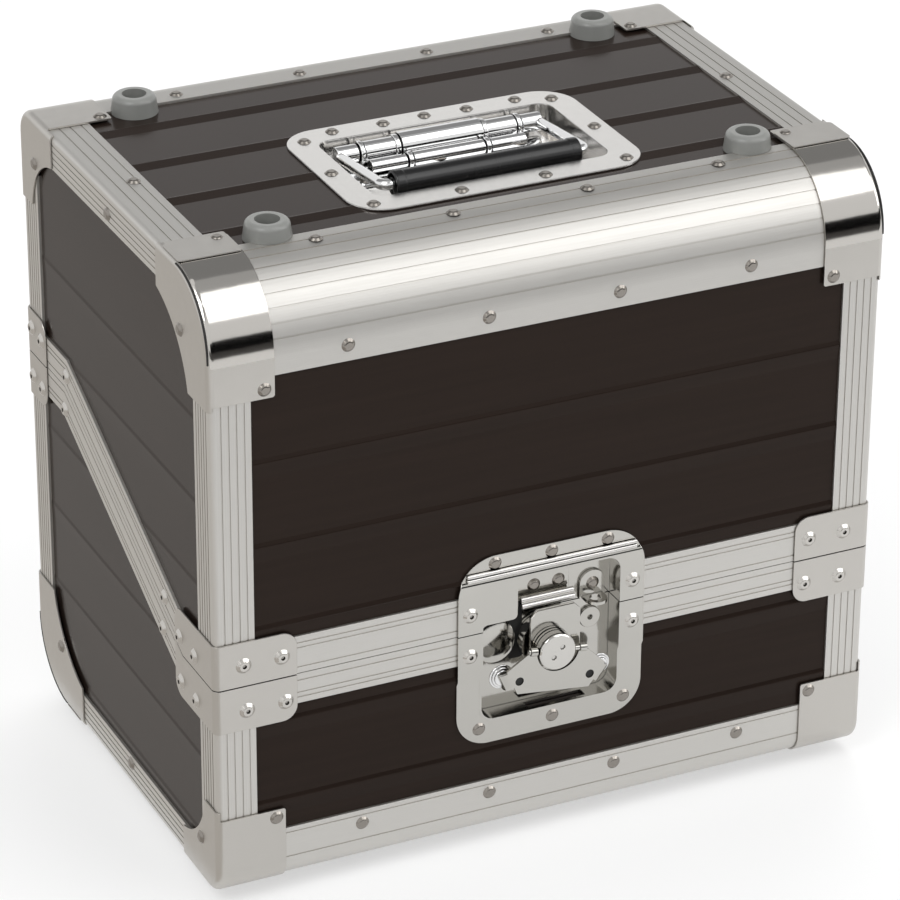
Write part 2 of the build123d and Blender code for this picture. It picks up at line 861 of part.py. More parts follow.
with BuildPart() as handle_saddle:
    with Locations((0, (mid - saddle_front + pivot_line_y + cover_radius) / 2, dish_floor + saddle_sheet / 2)):
        Box(2 * saddle_half_length, pivot_line_y + cover_radius - mid + saddle_front, saddle_sheet)
    with BuildSketch(Plane.YZ.offset(-cover_half)):
        add(arch(cover_radius))
    extrude(amount=2 * cover_half)
    with BuildSketch(Plane.YZ.offset(-saddle_half)):
        add(arch(saddle_radius))
    extrude(amount=2 * saddle_half)
    with Locations(Plane((0, pivot_line_y, pivot_line_z), z_dir=(1, 0, 0))):
        Cylinder(cover_bore, 2 * (cover_half - saddle_sheet), mode=Mode.SUBTRACT)
        Cylinder(rod_radius + run_fit, width, mode=Mode.SUBTRACT)
save(handle_saddle.part, "handle_saddle")

with BuildPart() as handle_spring:
    with Locations(Plane((0, pivot_line_y, pivot_line_z), z_dir=(1, 0, 0))):
        Cylinder(cover_bore, 2 * spring_half)
        Cylinder(spring_bore, 2 * spring_half, mode=Mode.SUBTRACT)
save(handle_spring.part, "handle_spring")

with BuildPart() as handle_bail:
    with BuildLine() as rod_path:
        FilletPolyline(
            (rod_end, pivot_line_y, pivot_line_z),
            (bail_half, pivot_line_y, pivot_line_z),
            (bail_half, grip_line_y, grip_line_z),
            (-bail_half, grip_line_y, grip_line_z),
            (-bail_half, pivot_line_y, pivot_line_z),
            (-rod_end, pivot_line_y, pivot_line_z),
            radius=bail_bend,
        )
    with BuildSketch(Plane(rod_path.line @ 0, z_dir=rod_path.line % 0)):
        Circle(rod_radius)
    sweep()
save(handle_bail.part, "handle_bail")

with BuildPart() as handle_grip:
    with Locations(Plane((0, grip_line_y, grip_line_z), z_dir=(1, 0, 0))):
        Cylinder(grip_radius, grip_length)
    fillet(handle_grip.edges().filter_by(GeomType.CIRCLE), grip_edge)
    with Locations(Plane((0, grip_line_y, grip_line_z), z_dir=(1, 0, 0))):
        Cylinder(rod_radius, grip_length, mode=Mode.SUBTRACT)
save(handle_grip.part, "handle_grip")

# Recessed twist latch

cam_z = bottom + cam_height
floor_y = front + pan_depth
floor_back = floor_y + latch_sheet


def dish_half(level, far_z, joggle_z, radius, pan_end):
    """Half of the latch dish, from the parting as far as far_z; its pan ends at pan_end."""
    way = 1 if far_z > level else -1
    ramp_z = joggle_z - way * joggle_ramp
    proud = front - latch_sheet
    sunk = front + sink - latch_sheet
    wall_end = pan_end + way * latch_sheet
    with BuildPart() as dish:
        with BuildSketch(Plane.YZ.offset(-latch_width / 2)):
            Polygon(
                (proud, level),
                (proud, ramp_z),
                (sunk, joggle_z),
                (sunk, far_z),
                (sunk + latch_sheet, far_z),
                (sunk + latch_sheet, joggle_z),
                (front, ramp_z),
                (front, level),
            )
        extrude(amount=latch_width)
        with BuildSketch(facing(floor_y)) as outline:
            with Locations((0, (level + far_z) / 2)):
                Rectangle(latch_width, abs(far_z - level))
            fillet(outline.vertices().group_by(Axis.Y)[-1 if way > 0 else 0], radius)
        extrude(amount=2 * pan_depth, mode=Mode.INTERSECT)
        with BuildSketch(facing(floor_back)) as pan:
            with Locations((0, (level + wall_end) / 2)):
                Rectangle(2 * (pan_half_width + latch_sheet), abs(wall_end - level))
            fillet(pan.vertices().group_by(Axis.Y)[-1 if way > 0 else 0], pan_radius + latch_sheet)
        extrude(amount=floor_back - front)
        with BuildSketch(facing(floor_y)) as opening:
            with Locations((0, (level + pan_end) / 2)):
                Rectangle(2 * pan_half_width, abs(pan_end - level))
            fillet(opening.vertices().group_by(Axis.Y)[-1 if way > 0 else 0], pan_radius)
        extrude(amount=2 * pan_depth, mode=Mode.SUBTRACT)
    return dish.part


latch_dish_upper = dish_half(
    part_front_z + half_gap, bottom + latch_top, bottom + joggle_top, latch_radius_top, pan_top_z
)
save(latch_dish_upper, "latch_dish_upper")

with BuildPart() as latch_dish_lower:
    add(
        dish_half(
            part_front_z - half_gap, bottom + latch_bottom, bottom + joggle_bottom, latch_radius_bottom, pan_bottom_z
        )
    )
    with Locations(Plane((0, floor_back, cam_z), z_dir=(0, 1, 0))):
        Cylinder(cam_shaft_radius + cam_shaft_play, 4 * latch_sheet, mode=Mode.SUBTRACT)
    with Locations((pan_slot_x, front + (pan_slot_front + pan_slot_back) / 2, pan_bottom_z)):
        Box(2 * pan_slot_half, pan_slot_back - pan_slot_front, 4 * latch_sheet, mode=Mode.SUBTRACT)
save(latch_dish_lower.part, "latch_dish_lower")

with BuildPart() as latch_washers:
    with BuildSketch(facing(floor_y)):
        with Locations((0, cam_z)):
            Circle(bush_radius)
            Circle(cam_shaft_radius + run_fit, mode=Mode.SUBTRACT)
        with Locations((washer_x, bottom + washer_height)):
            Circle(washer_radius)
            Circle(washer_bore, mode=Mode.SUBTRACT)
    extrude(amount=bush_height)
save(latch_washers.part, "latch_washers")

with BuildPart() as latch_keeper:
    lip_y = front + lip_front + lip_radius
    lip_z = bottom + lip_height
    with BuildSketch(Plane.YZ.offset(-keeper_width / 2)):
        with Locations((floor_y - keeper_sheet / 2, (lip_z - keeper_sheet / 2 + bottom + keeper_top) / 2)):
            Rectangle(keeper_sheet, bottom + keeper_top - lip_z + keeper_sheet / 2)
        with Locations(((lip_y + floor_y) / 2, lip_z)):
            Rectangle(floor_y - lip_y, keeper_sheet)
        with Locations((lip_y, lip_z)):
            Circle(lip_radius)
    extrude(amount=keeper_width)
    fillet(latch_keeper.edges().filter_by(Axis.Y).group_by(Axis.Z)[-1], keeper_sheet)
save(latch_keeper.part, "latch_keeper")

with BuildPart() as padlock_staple:
    plate_mid_z = bottom + staple_plate_top - staple_plate_half
    with BuildSketch(facing(floor_y)):
        with Locations((staple_x, plate_mid_z)):
            Circle(staple_plate_half)
        with Locations((staple_x, (bottom + staple_height + plate_mid_z) / 2)):
            Rectangle(2 * staple_plate_half, plate_mid_z - bottom - staple_height)
    extrude(amount=staple_sheet)
    with BuildSketch(Plane.XY.offset(bottom + staple_height)):
        with Locations((staple_x, front + staple_ring_depth)):
            Circle(staple_ring_radius)
        with Locations((staple_x, (front + staple_ring_depth + floor_y) / 2)):
            Rectangle(2 * staple_ring_radius, pan_depth - staple_ring_depth)
        with Locations((staple_x, front + staple_ring_depth)):
            Circle(staple_hole_radius, mode=Mode.SUBTRACT)
    extrude(amount=staple_sheet)
save(padlock_staple.part, "padlock_staple")

cam_x_dir = (cos(radians(cam_turn)), 0, sin(radians(cam_turn)))


def cam_plane(y):
    """Forward looking plane at depth y on the cam's axis, turned with the wings."""
    return Plane((0, y, cam_z), x_dir=cam_x_dir, z_dir=(0, -1, 0))


axle_y = front - wing_front + wing_sheet / 2

with BuildPart() as latch_cam:
    with BuildSketch(cam_plane(floor_back + cam_gap + cam_retainer)):
        Circle(cam_retainer_radius)
    extrude(amount=cam_retainer)
    with BuildSketch(cam_plane(floor_back + cam_gap)):
        Circle(cam_shaft_radius)
    extrude(amount=floor_back + cam_gap - front)
    with BuildSketch(cam_plane(floor_y - bush_height - cam_gap)):
        Circle(cam_radius)
    extrude(amount=pan_depth - bush_height - cam_gap - cam_front)
    with BuildSketch(cam_plane(front + cam_front)):
        Circle(cam_neck_radius)
    extrude(amount=cam_front + boss_back)
    with BuildSketch(cam_plane(front - boss_back)):
        Circle(boss_radius)
    extrude(amount=boss_proud - boss_back)
    chamfer(latch_cam.faces().sort_by(Axis.Y)[0].edges(), boss_edge)
    with Locations(Plane((0, axle_y, cam_z), z_dir=cam_x_dir)):
        Cylinder(axle_radius, 2 * axle_end)
    for groove_y in (front - boss_back - boss_groove_back, front - boss_proud + boss_groove_front):
        with BuildSketch(cam_plane(groove_y)):
            Circle(boss_radius)
            Circle(boss_radius - boss_groove, mode=Mode.SUBTRACT)
        extrude(amount=boss_groove, mode=Mode.SUBTRACT)
    with BuildSketch(cam_plane(front - boss_proud + boss_groove)):
        with PolarLocations(dimple_reach, 2, dimple_angle):
            Circle(dimple_radius)
    extrude(amount=boss_groove, mode=Mode.SUBTRACT)
save(latch_cam.part, "latch_cam")

with BuildPart() as latch_hook:
    with BuildSketch(facing(front - hook_front + hook_sheet)) as blade:
        with Locations((hook_aside, bottom + (hook_top + hook_bottom) / 2)):
            Rectangle(hook_width, hook_top - hook_bottom)
        chamfer(blade.vertices().group_by(Axis.Y)[-1], hook_chamfer)
        slot_half = cam_neck_radius + cam_neck_gap
        with Locations((0, cam_z - hook_travel / 2)):
            SlotCenterToCenter(hook_travel, 2 * slot_half, rotation=90, mode=Mode.SUBTRACT)
    extrude(amount=hook_sheet)
save(latch_hook.part, "latch_hook")

with BuildPart() as latch_butterfly:
    with BuildSketch(cam_plane(front - wing_front + wing_sheet)):
        Polygon(
            (0, 0),
            (wing_top, 0),
            (wing_shoulder_x, -wing_shoulder),
            (wing_foot, -wing_drop),
            (0, -wing_drop),
        )
        Circle(boss_window, mode=Mode.SUBTRACT)
        with Locations((wing_hole_x, -wing_hole_drop)):
            Circle(wing_hole_radius, mode=Mode.SUBTRACT)
    extrude(amount=wing_sheet)
    ear = Plane((0, axle_y, cam_z), z_dir=cam_x_dir).offset(wing_ear_start)
    with BuildSketch(ear):
        Circle(wing_ear_radius)
    extrude(amount=wing_top - wing_ear_start)
    with BuildSketch(Plane((0, axle_y, cam_z), z_dir=cam_x_dir).offset(boss_radius)):
        Circle(axle_radius + run_fit)
    extrude(amount=wing_top, mode=Mode.SUBTRACT)
    slant = Vector(wing_foot - wing_shoulder_x, wing_shoulder - wing_drop, 0).normalized()
    outwards = Vector(-slant.Y, slant.X, 0)
    tip = Vector(wing_shoulder_x, -wing_shoulder, 0) + slant * wing_lip_start
    face = cam_plane(front - wing_front)
    origin = face.from_local_coords(tip)
    along = face.from_local_coords(slant) - face.origin
    across = face.from_local_coords(outwards) - face.origin
    with BuildSketch(Plane(origin, x_dir=across, z_dir=along)):
        with Locations((0, -wing_lip_radius)):
            Circle(wing_lip_radius)
            Circle(wing_lip_radius - wing_sheet, mode=Mode.SUBTRACT)
        with Locations((wing_lip_radius / 2, -wing_lip_radius / 2)):
            Rectangle(wing_lip_radius, wing_lip_radius, mode=Mode.INTERSECT)
    extrude(amount=wing_lip_length)
    mirror(about=Plane((0, front, cam_z), z_dir=cam_x_dir))
save(Pos(wing_aside * Vector(*cam_x_dir)) * latch_butterfly.part, "latch_butterfly")

# Linings of closed-cell foam

lining_half = inner_half - channel_wall - foam_gap
with BuildPart() as base_foam:
    with Locations((0, (front + small_radius + rear - round_radius) / 2, bottom + board_in + foam / 2)):
        Box(2 * lining_half, depth - small_radius - round_radius, foam)
save(base_foam.part, "base_foam")

with BuildPart() as lid_foam:
    with Locations((0, (front + round_radius + rear - small_radius) / 2, board_top - board - foam / 2)):
        Box(2 * lining_half, depth - small_radius - round_radius, foam)
    with Locations((0, handle_mid, board_top - board)):
        Box(dish_cut_length + 2 * foam, dish_cut_width + 2 * foam, 3 * foam, mode=Mode.SUBTRACT)
save(lid_foam.part, "lid_foam")

# Butt hinges on the back

hinge_y = rear + hinge_gap + knuckle_radius
knuckle_length = (leaf_length - (knuckles - 1) * knuckle_gap) / knuckles
knuckle_step = knuckle_length + knuckle_gap


def leaves(upper):
    """The pair of hinge leaves on the lid or on the base, with their knuckles."""
    way = 1 if upper else -1
    stand_off = knuckle_radius + hinge_gap
    first = hinge_x - (leaf_length - knuckle_length) / 2
    with BuildPart() as leaf:
        with Locations((hinge_x, rear + leaf_sheet / 2, part_rear_z + way * (stand_off + leaf_height) / 2)):
            Box(leaf_length, leaf_sheet, leaf_height - stand_off)
        for step in range(1 if upper else 0, knuckles, 2):
            x = first + step * knuckle_step
            with Locations((x, rear + leaf_sheet / 2, part_rear_z + way * (stand_off + hinge_gap) / 2)):
                Box(knuckle_length, leaf_sheet, stand_off + hinge_gap)
            with Locations(Plane((x, hinge_y, part_rear_z), z_dir=(1, 0, 0))):
                Cylinder(knuckle_radius, knuckle_length)
                Cylinder(pin_radius + run_fit, knuckle_length, mode=Mode.SUBTRACT)
    return twin(leaf.part)


save(leaves(True), "hinge_leaves_lid")
save(leaves(False), "hinge_leaves_base")

with BuildPart() as hinge_pin:
    with Locations(Plane((hinge_x, hinge_y, part_rear_z), z_dir=(1, 0, 0))):
        Cylinder(pin_radius, leaf_length)
    for end in (-1, 1):
        with Locations(Plane((hinge_x + end * (leaf_length + pin_head) / 2, hinge_y, part_rear_z), z_dir=(1, 0, 0))):
            Cylinder(pin_head_radius, pin_head)
save(twin(hinge_pin.part), "hinge_pins")

# Rivet heads

with BuildPart() as split_head:
    with BuildSketch(Plane.XZ):
        Polygon((0, 0), (split_radius, 0), (head_crown * split_radius, split_rise), (0, split_rise))
    revolve(axis=Axis.Z)
    fillet(split_head.faces().sort_by(Axis.Z)[-1].edges(), split_rise)

with BuildPart() as blind_head:
    with BuildSketch(Plane.XZ):
        Polygon((0, 0), (blind_radius, 0), (head_crown * blind_radius, blind_rise), (0, blind_rise))
    revolve(axis=Axis.Z)
    fillet(blind_head.faces().sort_by(Axis.Z)[-1].edges(), blind_rise / 2)
    with Locations((0, 0, blind_rise)):
        Hole(blind_bore, blind_bore_depth)


def on_front(x, z, lift=0.0):
    """Seat on the front face at x and height z over the underside of the body."""
    return Plane((x, front - lift, bottom + z), z_dir=(0, -1, 0))


def on_rear(x, z, lift=0.0):
    """Seat on the rear face."""
    return Plane((x, rear + lift, bottom + z), z_dir=(0, 1, 0))


def on_top(x, y, lift=0.0):
    """Seat on the top face at x and y, with y counted from the middle of the body."""
    return Plane((x, mid + y, top + lift), z_dir=(0, 0, 1))


def on_sides(y, z, lift=0.0):
    """Seats on both side faces."""
    return [Plane((side * (width / 2 + lift), mid + y, bottom + z), z_dir=(side, 0, 0)) for side in (-1, 1)]


def on_under(x, y, lift=0.0):
    """Seat on the underside of the body."""
    return Plane((x, mid + y, bottom - lift), z_dir=(0, 0, -1))


def both(seat, places, *rest):
    """Seats at each place and at its mirror image on the other side."""
    return [seat(side * place[0], place[1], *rest) for place in places for side in (-1, 1)]


def by_sides(seat, places, *rest):
    """The same, with X counted inwards from the side faces."""
    return both(seat, [(width / 2 - x, across) for x, across in places], *rest)


def heads(head, seats, name):
    """One node of equal rivet heads, one on each seat."""
    with BuildPart() as group:
        with Locations(*seats):
            add(head)
    save(group.part, name)


on_dish = dish_sheet - sink
on_flange = latch_sheet - sink
in_pan = keeper_sheet - pan_depth

lid_split_seats = [
    *[on_top(x, top_rear_rivet_y) for x in top_rear_rivets],
    *[on_top(x, top_front_rivet_y) for x in top_front_rivets],
    *[on_front(x, height - front_upper_rivet_drop) for x in front_upper_rivets],
    *[on_rear(x, height - front_lower_rivet_z) for x in top_rear_rivets],
    *by_sides(on_top, [side_top_rivet]),
    *on_sides(side_upper_rivet_y, height - side_upper_rivet_drop),
    *by_sides(on_top, [round_cap_top_rivet], cap_sheet),
    *by_sides(on_front, [(round_cap_front_rivet_in, height - round_cap_front_rivet_drop)], cap_sheet),
    *on_sides(round_cap_side_rivet_y, height - round_cap_side_rivet_drop, cap_sheet),
    *by_sides(on_top, [small_cap_flat_rivet], cap_sheet),
    *by_sides(on_rear, [(small_cap_front_rivet[0], height - small_cap_front_rivet[1])], cap_sheet),
    *on_sides(-small_cap_side_rivet[0], height - small_cap_side_rivet[1], cap_sheet),
    *[on_top(x, y, on_dish) for x, y in handle_rivets],
    *[on_top(x, saddle_rivet_y, saddle_sheet - dish_depth) for x in saddle_rivets],
    *[on_front(x, latch_upper_rivet_z, on_flange) for x in latch_upper_rivets],
    *[on_front(x, keeper_rivet_z, in_pan) for x in keeper_rivets],
    on_front(staple_x, staple_rivet_z, in_pan),
]
base_split_seats = [
    *[on_front(x, front_lower_rivet_z) for x in front_lower_rivets],
    *[on_under(x, -top_rear_rivet_y) for x in front_lower_rivets],
    *[on_under(x, -top_front_rivet_y) for x in top_front_rivets],
    *[on_rear(x, front_upper_rivet_drop) for x in front_upper_rivets],
    *by_sides(on_under, [(side_top_rivet[0], -side_top_rivet[1])]),
    *on_sides(*side_lower_rivet),
    *by_sides(on_under, [(round_cap_top_rivet[0], -round_cap_top_rivet[1])], cap_sheet),
    *by_sides(on_rear, [(round_cap_front_rivet_in, round_cap_front_rivet_drop)], cap_sheet),
    *on_sides(-round_cap_side_rivet_y, round_cap_side_rivet_drop, cap_sheet),
    *by_sides(on_under, [(small_cap_flat_rivet[0], -small_cap_flat_rivet[1])], cap_sheet),
    *by_sides(on_front, [small_cap_front_rivet], cap_sheet),
    *on_sides(*small_cap_side_rivet, cap_sheet),
    *[on_front(x, z, on_flange) for x, z in latch_lower_rivets],
]
lid_blind_seats = [
    *by_sides(on_front, lid_plate_front_rivets, cap_sheet),
    *[seat for place in lid_plate_side_rivets for seat in on_sides(*place, cap_sheet)],
    *by_sides(on_rear, lid_plate_rear_rivets, cap_sheet),
    *[seat for place in lid_strip_rivets for seat in on_sides(*place)],
    *both(on_front, [(latch_side_rivet_x, latch_side_rivet_lid_z)], latch_sheet),
    *both(on_rear, [(hinge_x + x, rear_part + leaf_rivet_z) for x in leaf_rivets], leaf_sheet),
]
base_blind_seats = [
    *by_sides(on_front, base_plate_front_rivets, cap_sheet),
    *[seat for place in base_plate_side_rivets for seat in on_sides(*place, cap_sheet)],
    *by_sides(on_rear, base_plate_rear_rivets, cap_sheet),
    *[seat for place in base_strip_rivets for seat in on_sides(*place)],
    *both(on_front, [(latch_side_rivet_x, latch_side_rivet_base_z)], latch_sheet),
    *both(on_rear, [(hinge_x + x, rear_part - leaf_rivet_z) for x in leaf_rivets], leaf_sheet),
]
heads(split_head.part, lid_split_seats, "lid_split_rivets")
heads(split_head.part, base_split_seats, "base_split_rivets")
heads(blind_head.part, lid_blind_seats, "lid_blind_rivets")
heads(blind_head.part, base_blind_seats, "base_blind_rivets")
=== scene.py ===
"""Upright record case: sheet-clad boards in grooved edge profiles, with a twist latch and a sprung handle."""
import logging
import math
from collections.abc import Callable
from dataclasses import dataclass, field
from enum import Enum

import bpy
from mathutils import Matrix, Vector


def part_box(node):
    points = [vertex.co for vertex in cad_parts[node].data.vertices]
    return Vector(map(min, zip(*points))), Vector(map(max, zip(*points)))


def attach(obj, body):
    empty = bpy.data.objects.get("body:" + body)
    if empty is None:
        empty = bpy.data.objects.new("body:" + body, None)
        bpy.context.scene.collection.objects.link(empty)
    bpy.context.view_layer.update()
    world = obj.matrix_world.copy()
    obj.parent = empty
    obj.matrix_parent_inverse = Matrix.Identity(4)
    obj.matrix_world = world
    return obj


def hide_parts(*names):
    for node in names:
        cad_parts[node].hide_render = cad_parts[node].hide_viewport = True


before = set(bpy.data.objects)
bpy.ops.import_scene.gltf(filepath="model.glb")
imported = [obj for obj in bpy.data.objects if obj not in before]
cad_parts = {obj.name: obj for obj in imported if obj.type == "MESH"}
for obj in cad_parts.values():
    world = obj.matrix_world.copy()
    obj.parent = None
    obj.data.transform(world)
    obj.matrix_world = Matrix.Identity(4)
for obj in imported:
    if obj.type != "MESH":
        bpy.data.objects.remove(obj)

logging.basicConfig(level=logging.INFO, format="%(message)s")
LOG = logging.getLogger("record_case")
MM = 0.001


class Face(Enum):
    """Which way the drawn lines of an extruded profile are spaced."""

    ACROSS_X = (1.0, 0.0, 0.0)
    ACROSS_Y = (0.0, 1.0, 0.0)
    ACROSS_Z = (0.0, 0.0, 1.0)
    ACROSS_SLOPE = (0.0, -0.437, 0.899)


@dataclass(frozen=True)
class Levels:
    """Outer faces of the case body and its parting, in metres in the shared frame."""

    half_width: float
    front: float
    rear: float
    bottom: float
    top: float

    @classmethod
    def from_frame(cls) -> "Levels":
        """Read the levels from the CAD edge profiles.

        Returns:
            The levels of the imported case.
        """
        lid_low, lid_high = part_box("lid_profile_round_front")
        base_low, base_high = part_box("base_profile_round_rear")
        return cls(lid_high.x, lid_low.y, base_high.y, base_low.z, lid_high.z)

    @property
    def mid(self) -> float:
        """Middle of the body in depth."""
        return (self.front + self.rear) / 2


def linear(code: str) -> tuple[float, float, float, float]:
    """Turn an sRGB hex colour into the linear colour that a shader takes.

    Args:
        code: Six hex digits after a hash.

    Returns:
        Linear red, green and blue, and an alpha of one.
    """
    parts = [int(code[i : i + 2], 16) / 255 for i in (1, 3, 5)]
    red, green, blue = [p / 12.92 if p <= 0.04045 else ((p + 0.055) / 1.055) ** 2.4 for p in parts]
    return (red, green, blue, 1.0)


def add_node(tree: bpy.types.NodeTree, kind: str, inputs: dict | None = None, **settings) -> bpy.types.Node:
    """Add one shader node with its settings, values and links.

    Args:
        tree: Node tree of the material or world.
        kind: Blender's name of the node type.
        inputs: Socket name or number to a value, or to an output socket that is linked to it.
        **settings: Properties of the node itself.

    Returns:
        The new node.
    """
    node = tree.nodes.new(kind)
    for key, value in settings.items():
        setattr(node, key, value)
    for socket, value in (inputs or {}).items():
        target = node.inputs[socket]
        if isinstance(value, bpy.types.NodeSocket):
            tree.links.new(value, target)
        else:
            target.default_value = value
    return node


def blank_material(name: str) -> tuple[bpy.types.Material, bpy.types.NodeTree, bpy.types.Node]:
    """Make a material that holds only its output node.

    Args:
        name: Name of the finish.

    Returns:
        The material, its node tree and its output node.
    """
    material = bpy.data.materials.new(name)
    material.use_nodes = True
    tree = material.node_tree
    tree.nodes.clear()
    return material, tree, add_node(tree, "ShaderNodeOutputMaterial")


def inside(tree: bpy.types.NodeTree, value: bpy.types.NodeSocket, low: float, high: float) -> bpy.types.NodeSocket:
    """Mask that is one where a value lies between two limits."""
    centre, reach = (low + high) / 2, (high - low) / 2
    return add_node(tree, "ShaderNodeMath", {0: value, 1: centre, 2: reach}, operation="COMPARE").outputs[0]


def shaded_in_recesses(
    tree: bpy.types.NodeTree, open_colour: tuple, recess_shade: tuple, reach: float, low: float = 0.35, high: float = 0.8
) -> bpy.types.NodeSocket:
    """Colour with painted shade in grooves, laps and bores, where light does not reach.

    Args:
        tree: Node tree of the material.
        open_colour: Linear colour of the open surface.
        recess_shade: Linear colour of the painted shade deepest in a recess.
        reach: Width of the grooves that count, in metres.
        low: Openness at which the painted shade is full.
        high: Openness at which it ends.

    Returns:
        The colour socket.
    """
    # Ambient occlusion paints shade into the colour where surfaces close in
    open_share = add_node(tree, "ShaderNodeAmbientOcclusion", {"Distance": reach}, samples=6).outputs["AO"]
    share = add_node(tree, "ShaderNodeMapRange", {"Value": open_share, "From Min": low, "From Max": high})
    mixed = add_node(tree, "ShaderNodeMix", {0: share.outputs[0], 6: recess_shade, 7: open_colour}, data_type="RGBA")
    return mixed.outputs[2]


@dataclass(frozen=True)
class GlossLaminate:
    """High-gloss dark brown melamine laminate pressed over plywood: almost black brown under a hard shine."""

    levels: Levels
    dark: str = "#1c1613"
    light: str = "#251d19"
    shine: float = 0.14
    tint: str = "#f3dfd3"
    lining: str = "#2c2b2c"
    board: float = 9.3 * MM

    def material(self) -> bpy.types.Material:
        """Build the laminate outside with a flocked lining on the inner faces.

        Returns:
            The material of the boards.
        """
        material, tree, output = blank_material("gloss_brown_laminate")
        place = add_node(tree, "ShaderNodeTexCoord").outputs["Object"]
        axes = add_node(tree, "ShaderNodeSeparateXYZ", {0: place})
        streaks = add_node(tree, "ShaderNodeMapping", {"Vector": place, "Scale": (3.0, 3.0, 90.0)})
        grain = add_node(tree, "ShaderNodeTexNoise", {"Vector": streaks.outputs[0], "Scale": 3.0, "Detail": 4.0})
        colour = add_node(
            tree,
            "ShaderNodeMix",
            {0: grain.outputs[0], 6: linear(self.dark), 7: linear(self.light)},
            data_type="RGBA",
        )
        # The film dries with a faint orange peel of about 4 mm
        peel = add_node(tree, "ShaderNodeTexNoise", {"Vector": place, "Scale": 1 / (4 * MM), "Detail": 1.0})
        bump = add_node(tree, "ShaderNodeBump", {"Height": peel.outputs[0], "Strength": 0.03, "Distance": 0.1 * MM})
        gloss = add_node(
            tree,
            "ShaderNodeBsdfPrincipled",
            {
                "Base Color": colour.outputs[2],
                "Roughness": 0.17,
                "Specular IOR Level": self.shine,
                "Specular Tint": linear(self.tint),
                "Normal": bump.outputs[0],
            },
        )
        fibre = add_node(tree, "ShaderNodeTexNoise", {"Vector": place, "Scale": 1 / (0.9 * MM), "Detail": 3.0})
        nap = add_node(tree, "ShaderNodeBump", {"Height": fibre.outputs[0], "Strength": 0.5, "Distance": 0.3 * MM})
        flock = add_node(
            tree,
            "ShaderNodeBsdfPrincipled",
            {"Base Color": linear(self.lining), "Roughness": 0.92, "Sheen Weight": 0.3, "Normal": nap.outputs[0]},
        )
        side = self.levels.half_width - self.board
        deep = inside(tree, axes.outputs[0], -side, side)
        along = inside(tree, axes.outputs[1], self.levels.front + self.board, self.levels.rear - self.board)
        rise = inside(tree, axes.outputs[2], self.levels.bottom + self.board, self.levels.top - self.board)
        flat = add_node(tree, "ShaderNodeMath", {0: deep, 1: along}, operation="MULTIPLY")
        inner = add_node(tree, "ShaderNodeMath", {0: flat.outputs[0], 1: rise}, operation="MULTIPLY")
        mixed = add_node(tree, "ShaderNodeMixShader", {0: inner.outputs[0], 1: gloss.outputs[0], 2: flock.outputs[0]})
        tree.links.new(mixed.outputs[0], output.inputs[0])
        return material


@dataclass(frozen=True)
class DrawnAluminium:
    """Satin anodised aluminium, extruded: pale, softly shining, with fine drawn lines along its length."""

    face: Face
    colour: str = "#cbc9c5"
    # Colour of the painted shade in the grooves and at the steps
    groove_shade: str = "#a7a199"
    roughness: float = 0.47
    line_pitch: float = 1.3 * MM
    along_scale: float = 60.0
    across_scale: float = 2200.0

    def material(self) -> bpy.types.Material:
        """Build the metal with lines spaced across the given direction.

        Returns:
            The material of the profiles that are drawn this way.
        """
        material, tree, output = blank_material("anodised_aluminium_" + self.face.name.lower())
        place = add_node(tree, "ShaderNodeTexCoord").outputs["Object"]
        across = add_node(tree, "ShaderNodeVectorMath", {0: place, 1: self.face.value}, operation="DOT_PRODUCT")
        count = add_node(
            tree,
            "ShaderNodeMath",
            {0: across.outputs["Value"], 1: 2 * math.pi / self.line_pitch},
            operation="MULTIPLY",
        )
        wave = add_node(tree, "ShaderNodeMath", {0: count.outputs[0]}, operation="SINE")
        # Die lines run the whole length, so the noise is squeezed across them only
        squeeze = [self.along_scale if abs(part) < 0.5 else self.across_scale for part in self.face.value]
        lines = add_node(tree, "ShaderNodeMapping", {"Vector": place, "Scale": tuple(squeeze)})
        drawn = add_node(tree, "ShaderNodeTexNoise", {"Vector": lines.outputs[0], "Scale": 0.5, "Detail": 3.0})
        height = add_node(
            tree,
            "ShaderNodeMath",
            {0: wave.outputs[0], 1: 0.5, 2: drawn.outputs[0]},
            operation="MULTIPLY_ADD",
        )
        bump = add_node(tree, "ShaderNodeBump", {"Height": height.outputs[0], "Strength": 0.12, "Distance": 0.1 * MM})
        rough = add_node(
            tree,
            "ShaderNodeMapRange",
            {"Value": drawn.outputs[0], "To Min": self.roughness - 0.05, "To Max": self.roughness + 0.07},
        )
        metal = add_node(
            tree,
            "ShaderNodeBsdfPrincipled",
            {
                # Painted shade darkens the colour in the grooves
                "Base Color": shaded_in_recesses(tree, linear(self.colour), linear(self.groove_shade), 1.4 * MM),
                "Metallic": 1.0,
                "Roughness": rough.outputs[0],
                "Normal": bump.outputs[0],
            },
        )
        tree.links.new(metal.outputs[0], output.inputs[0])
        return material


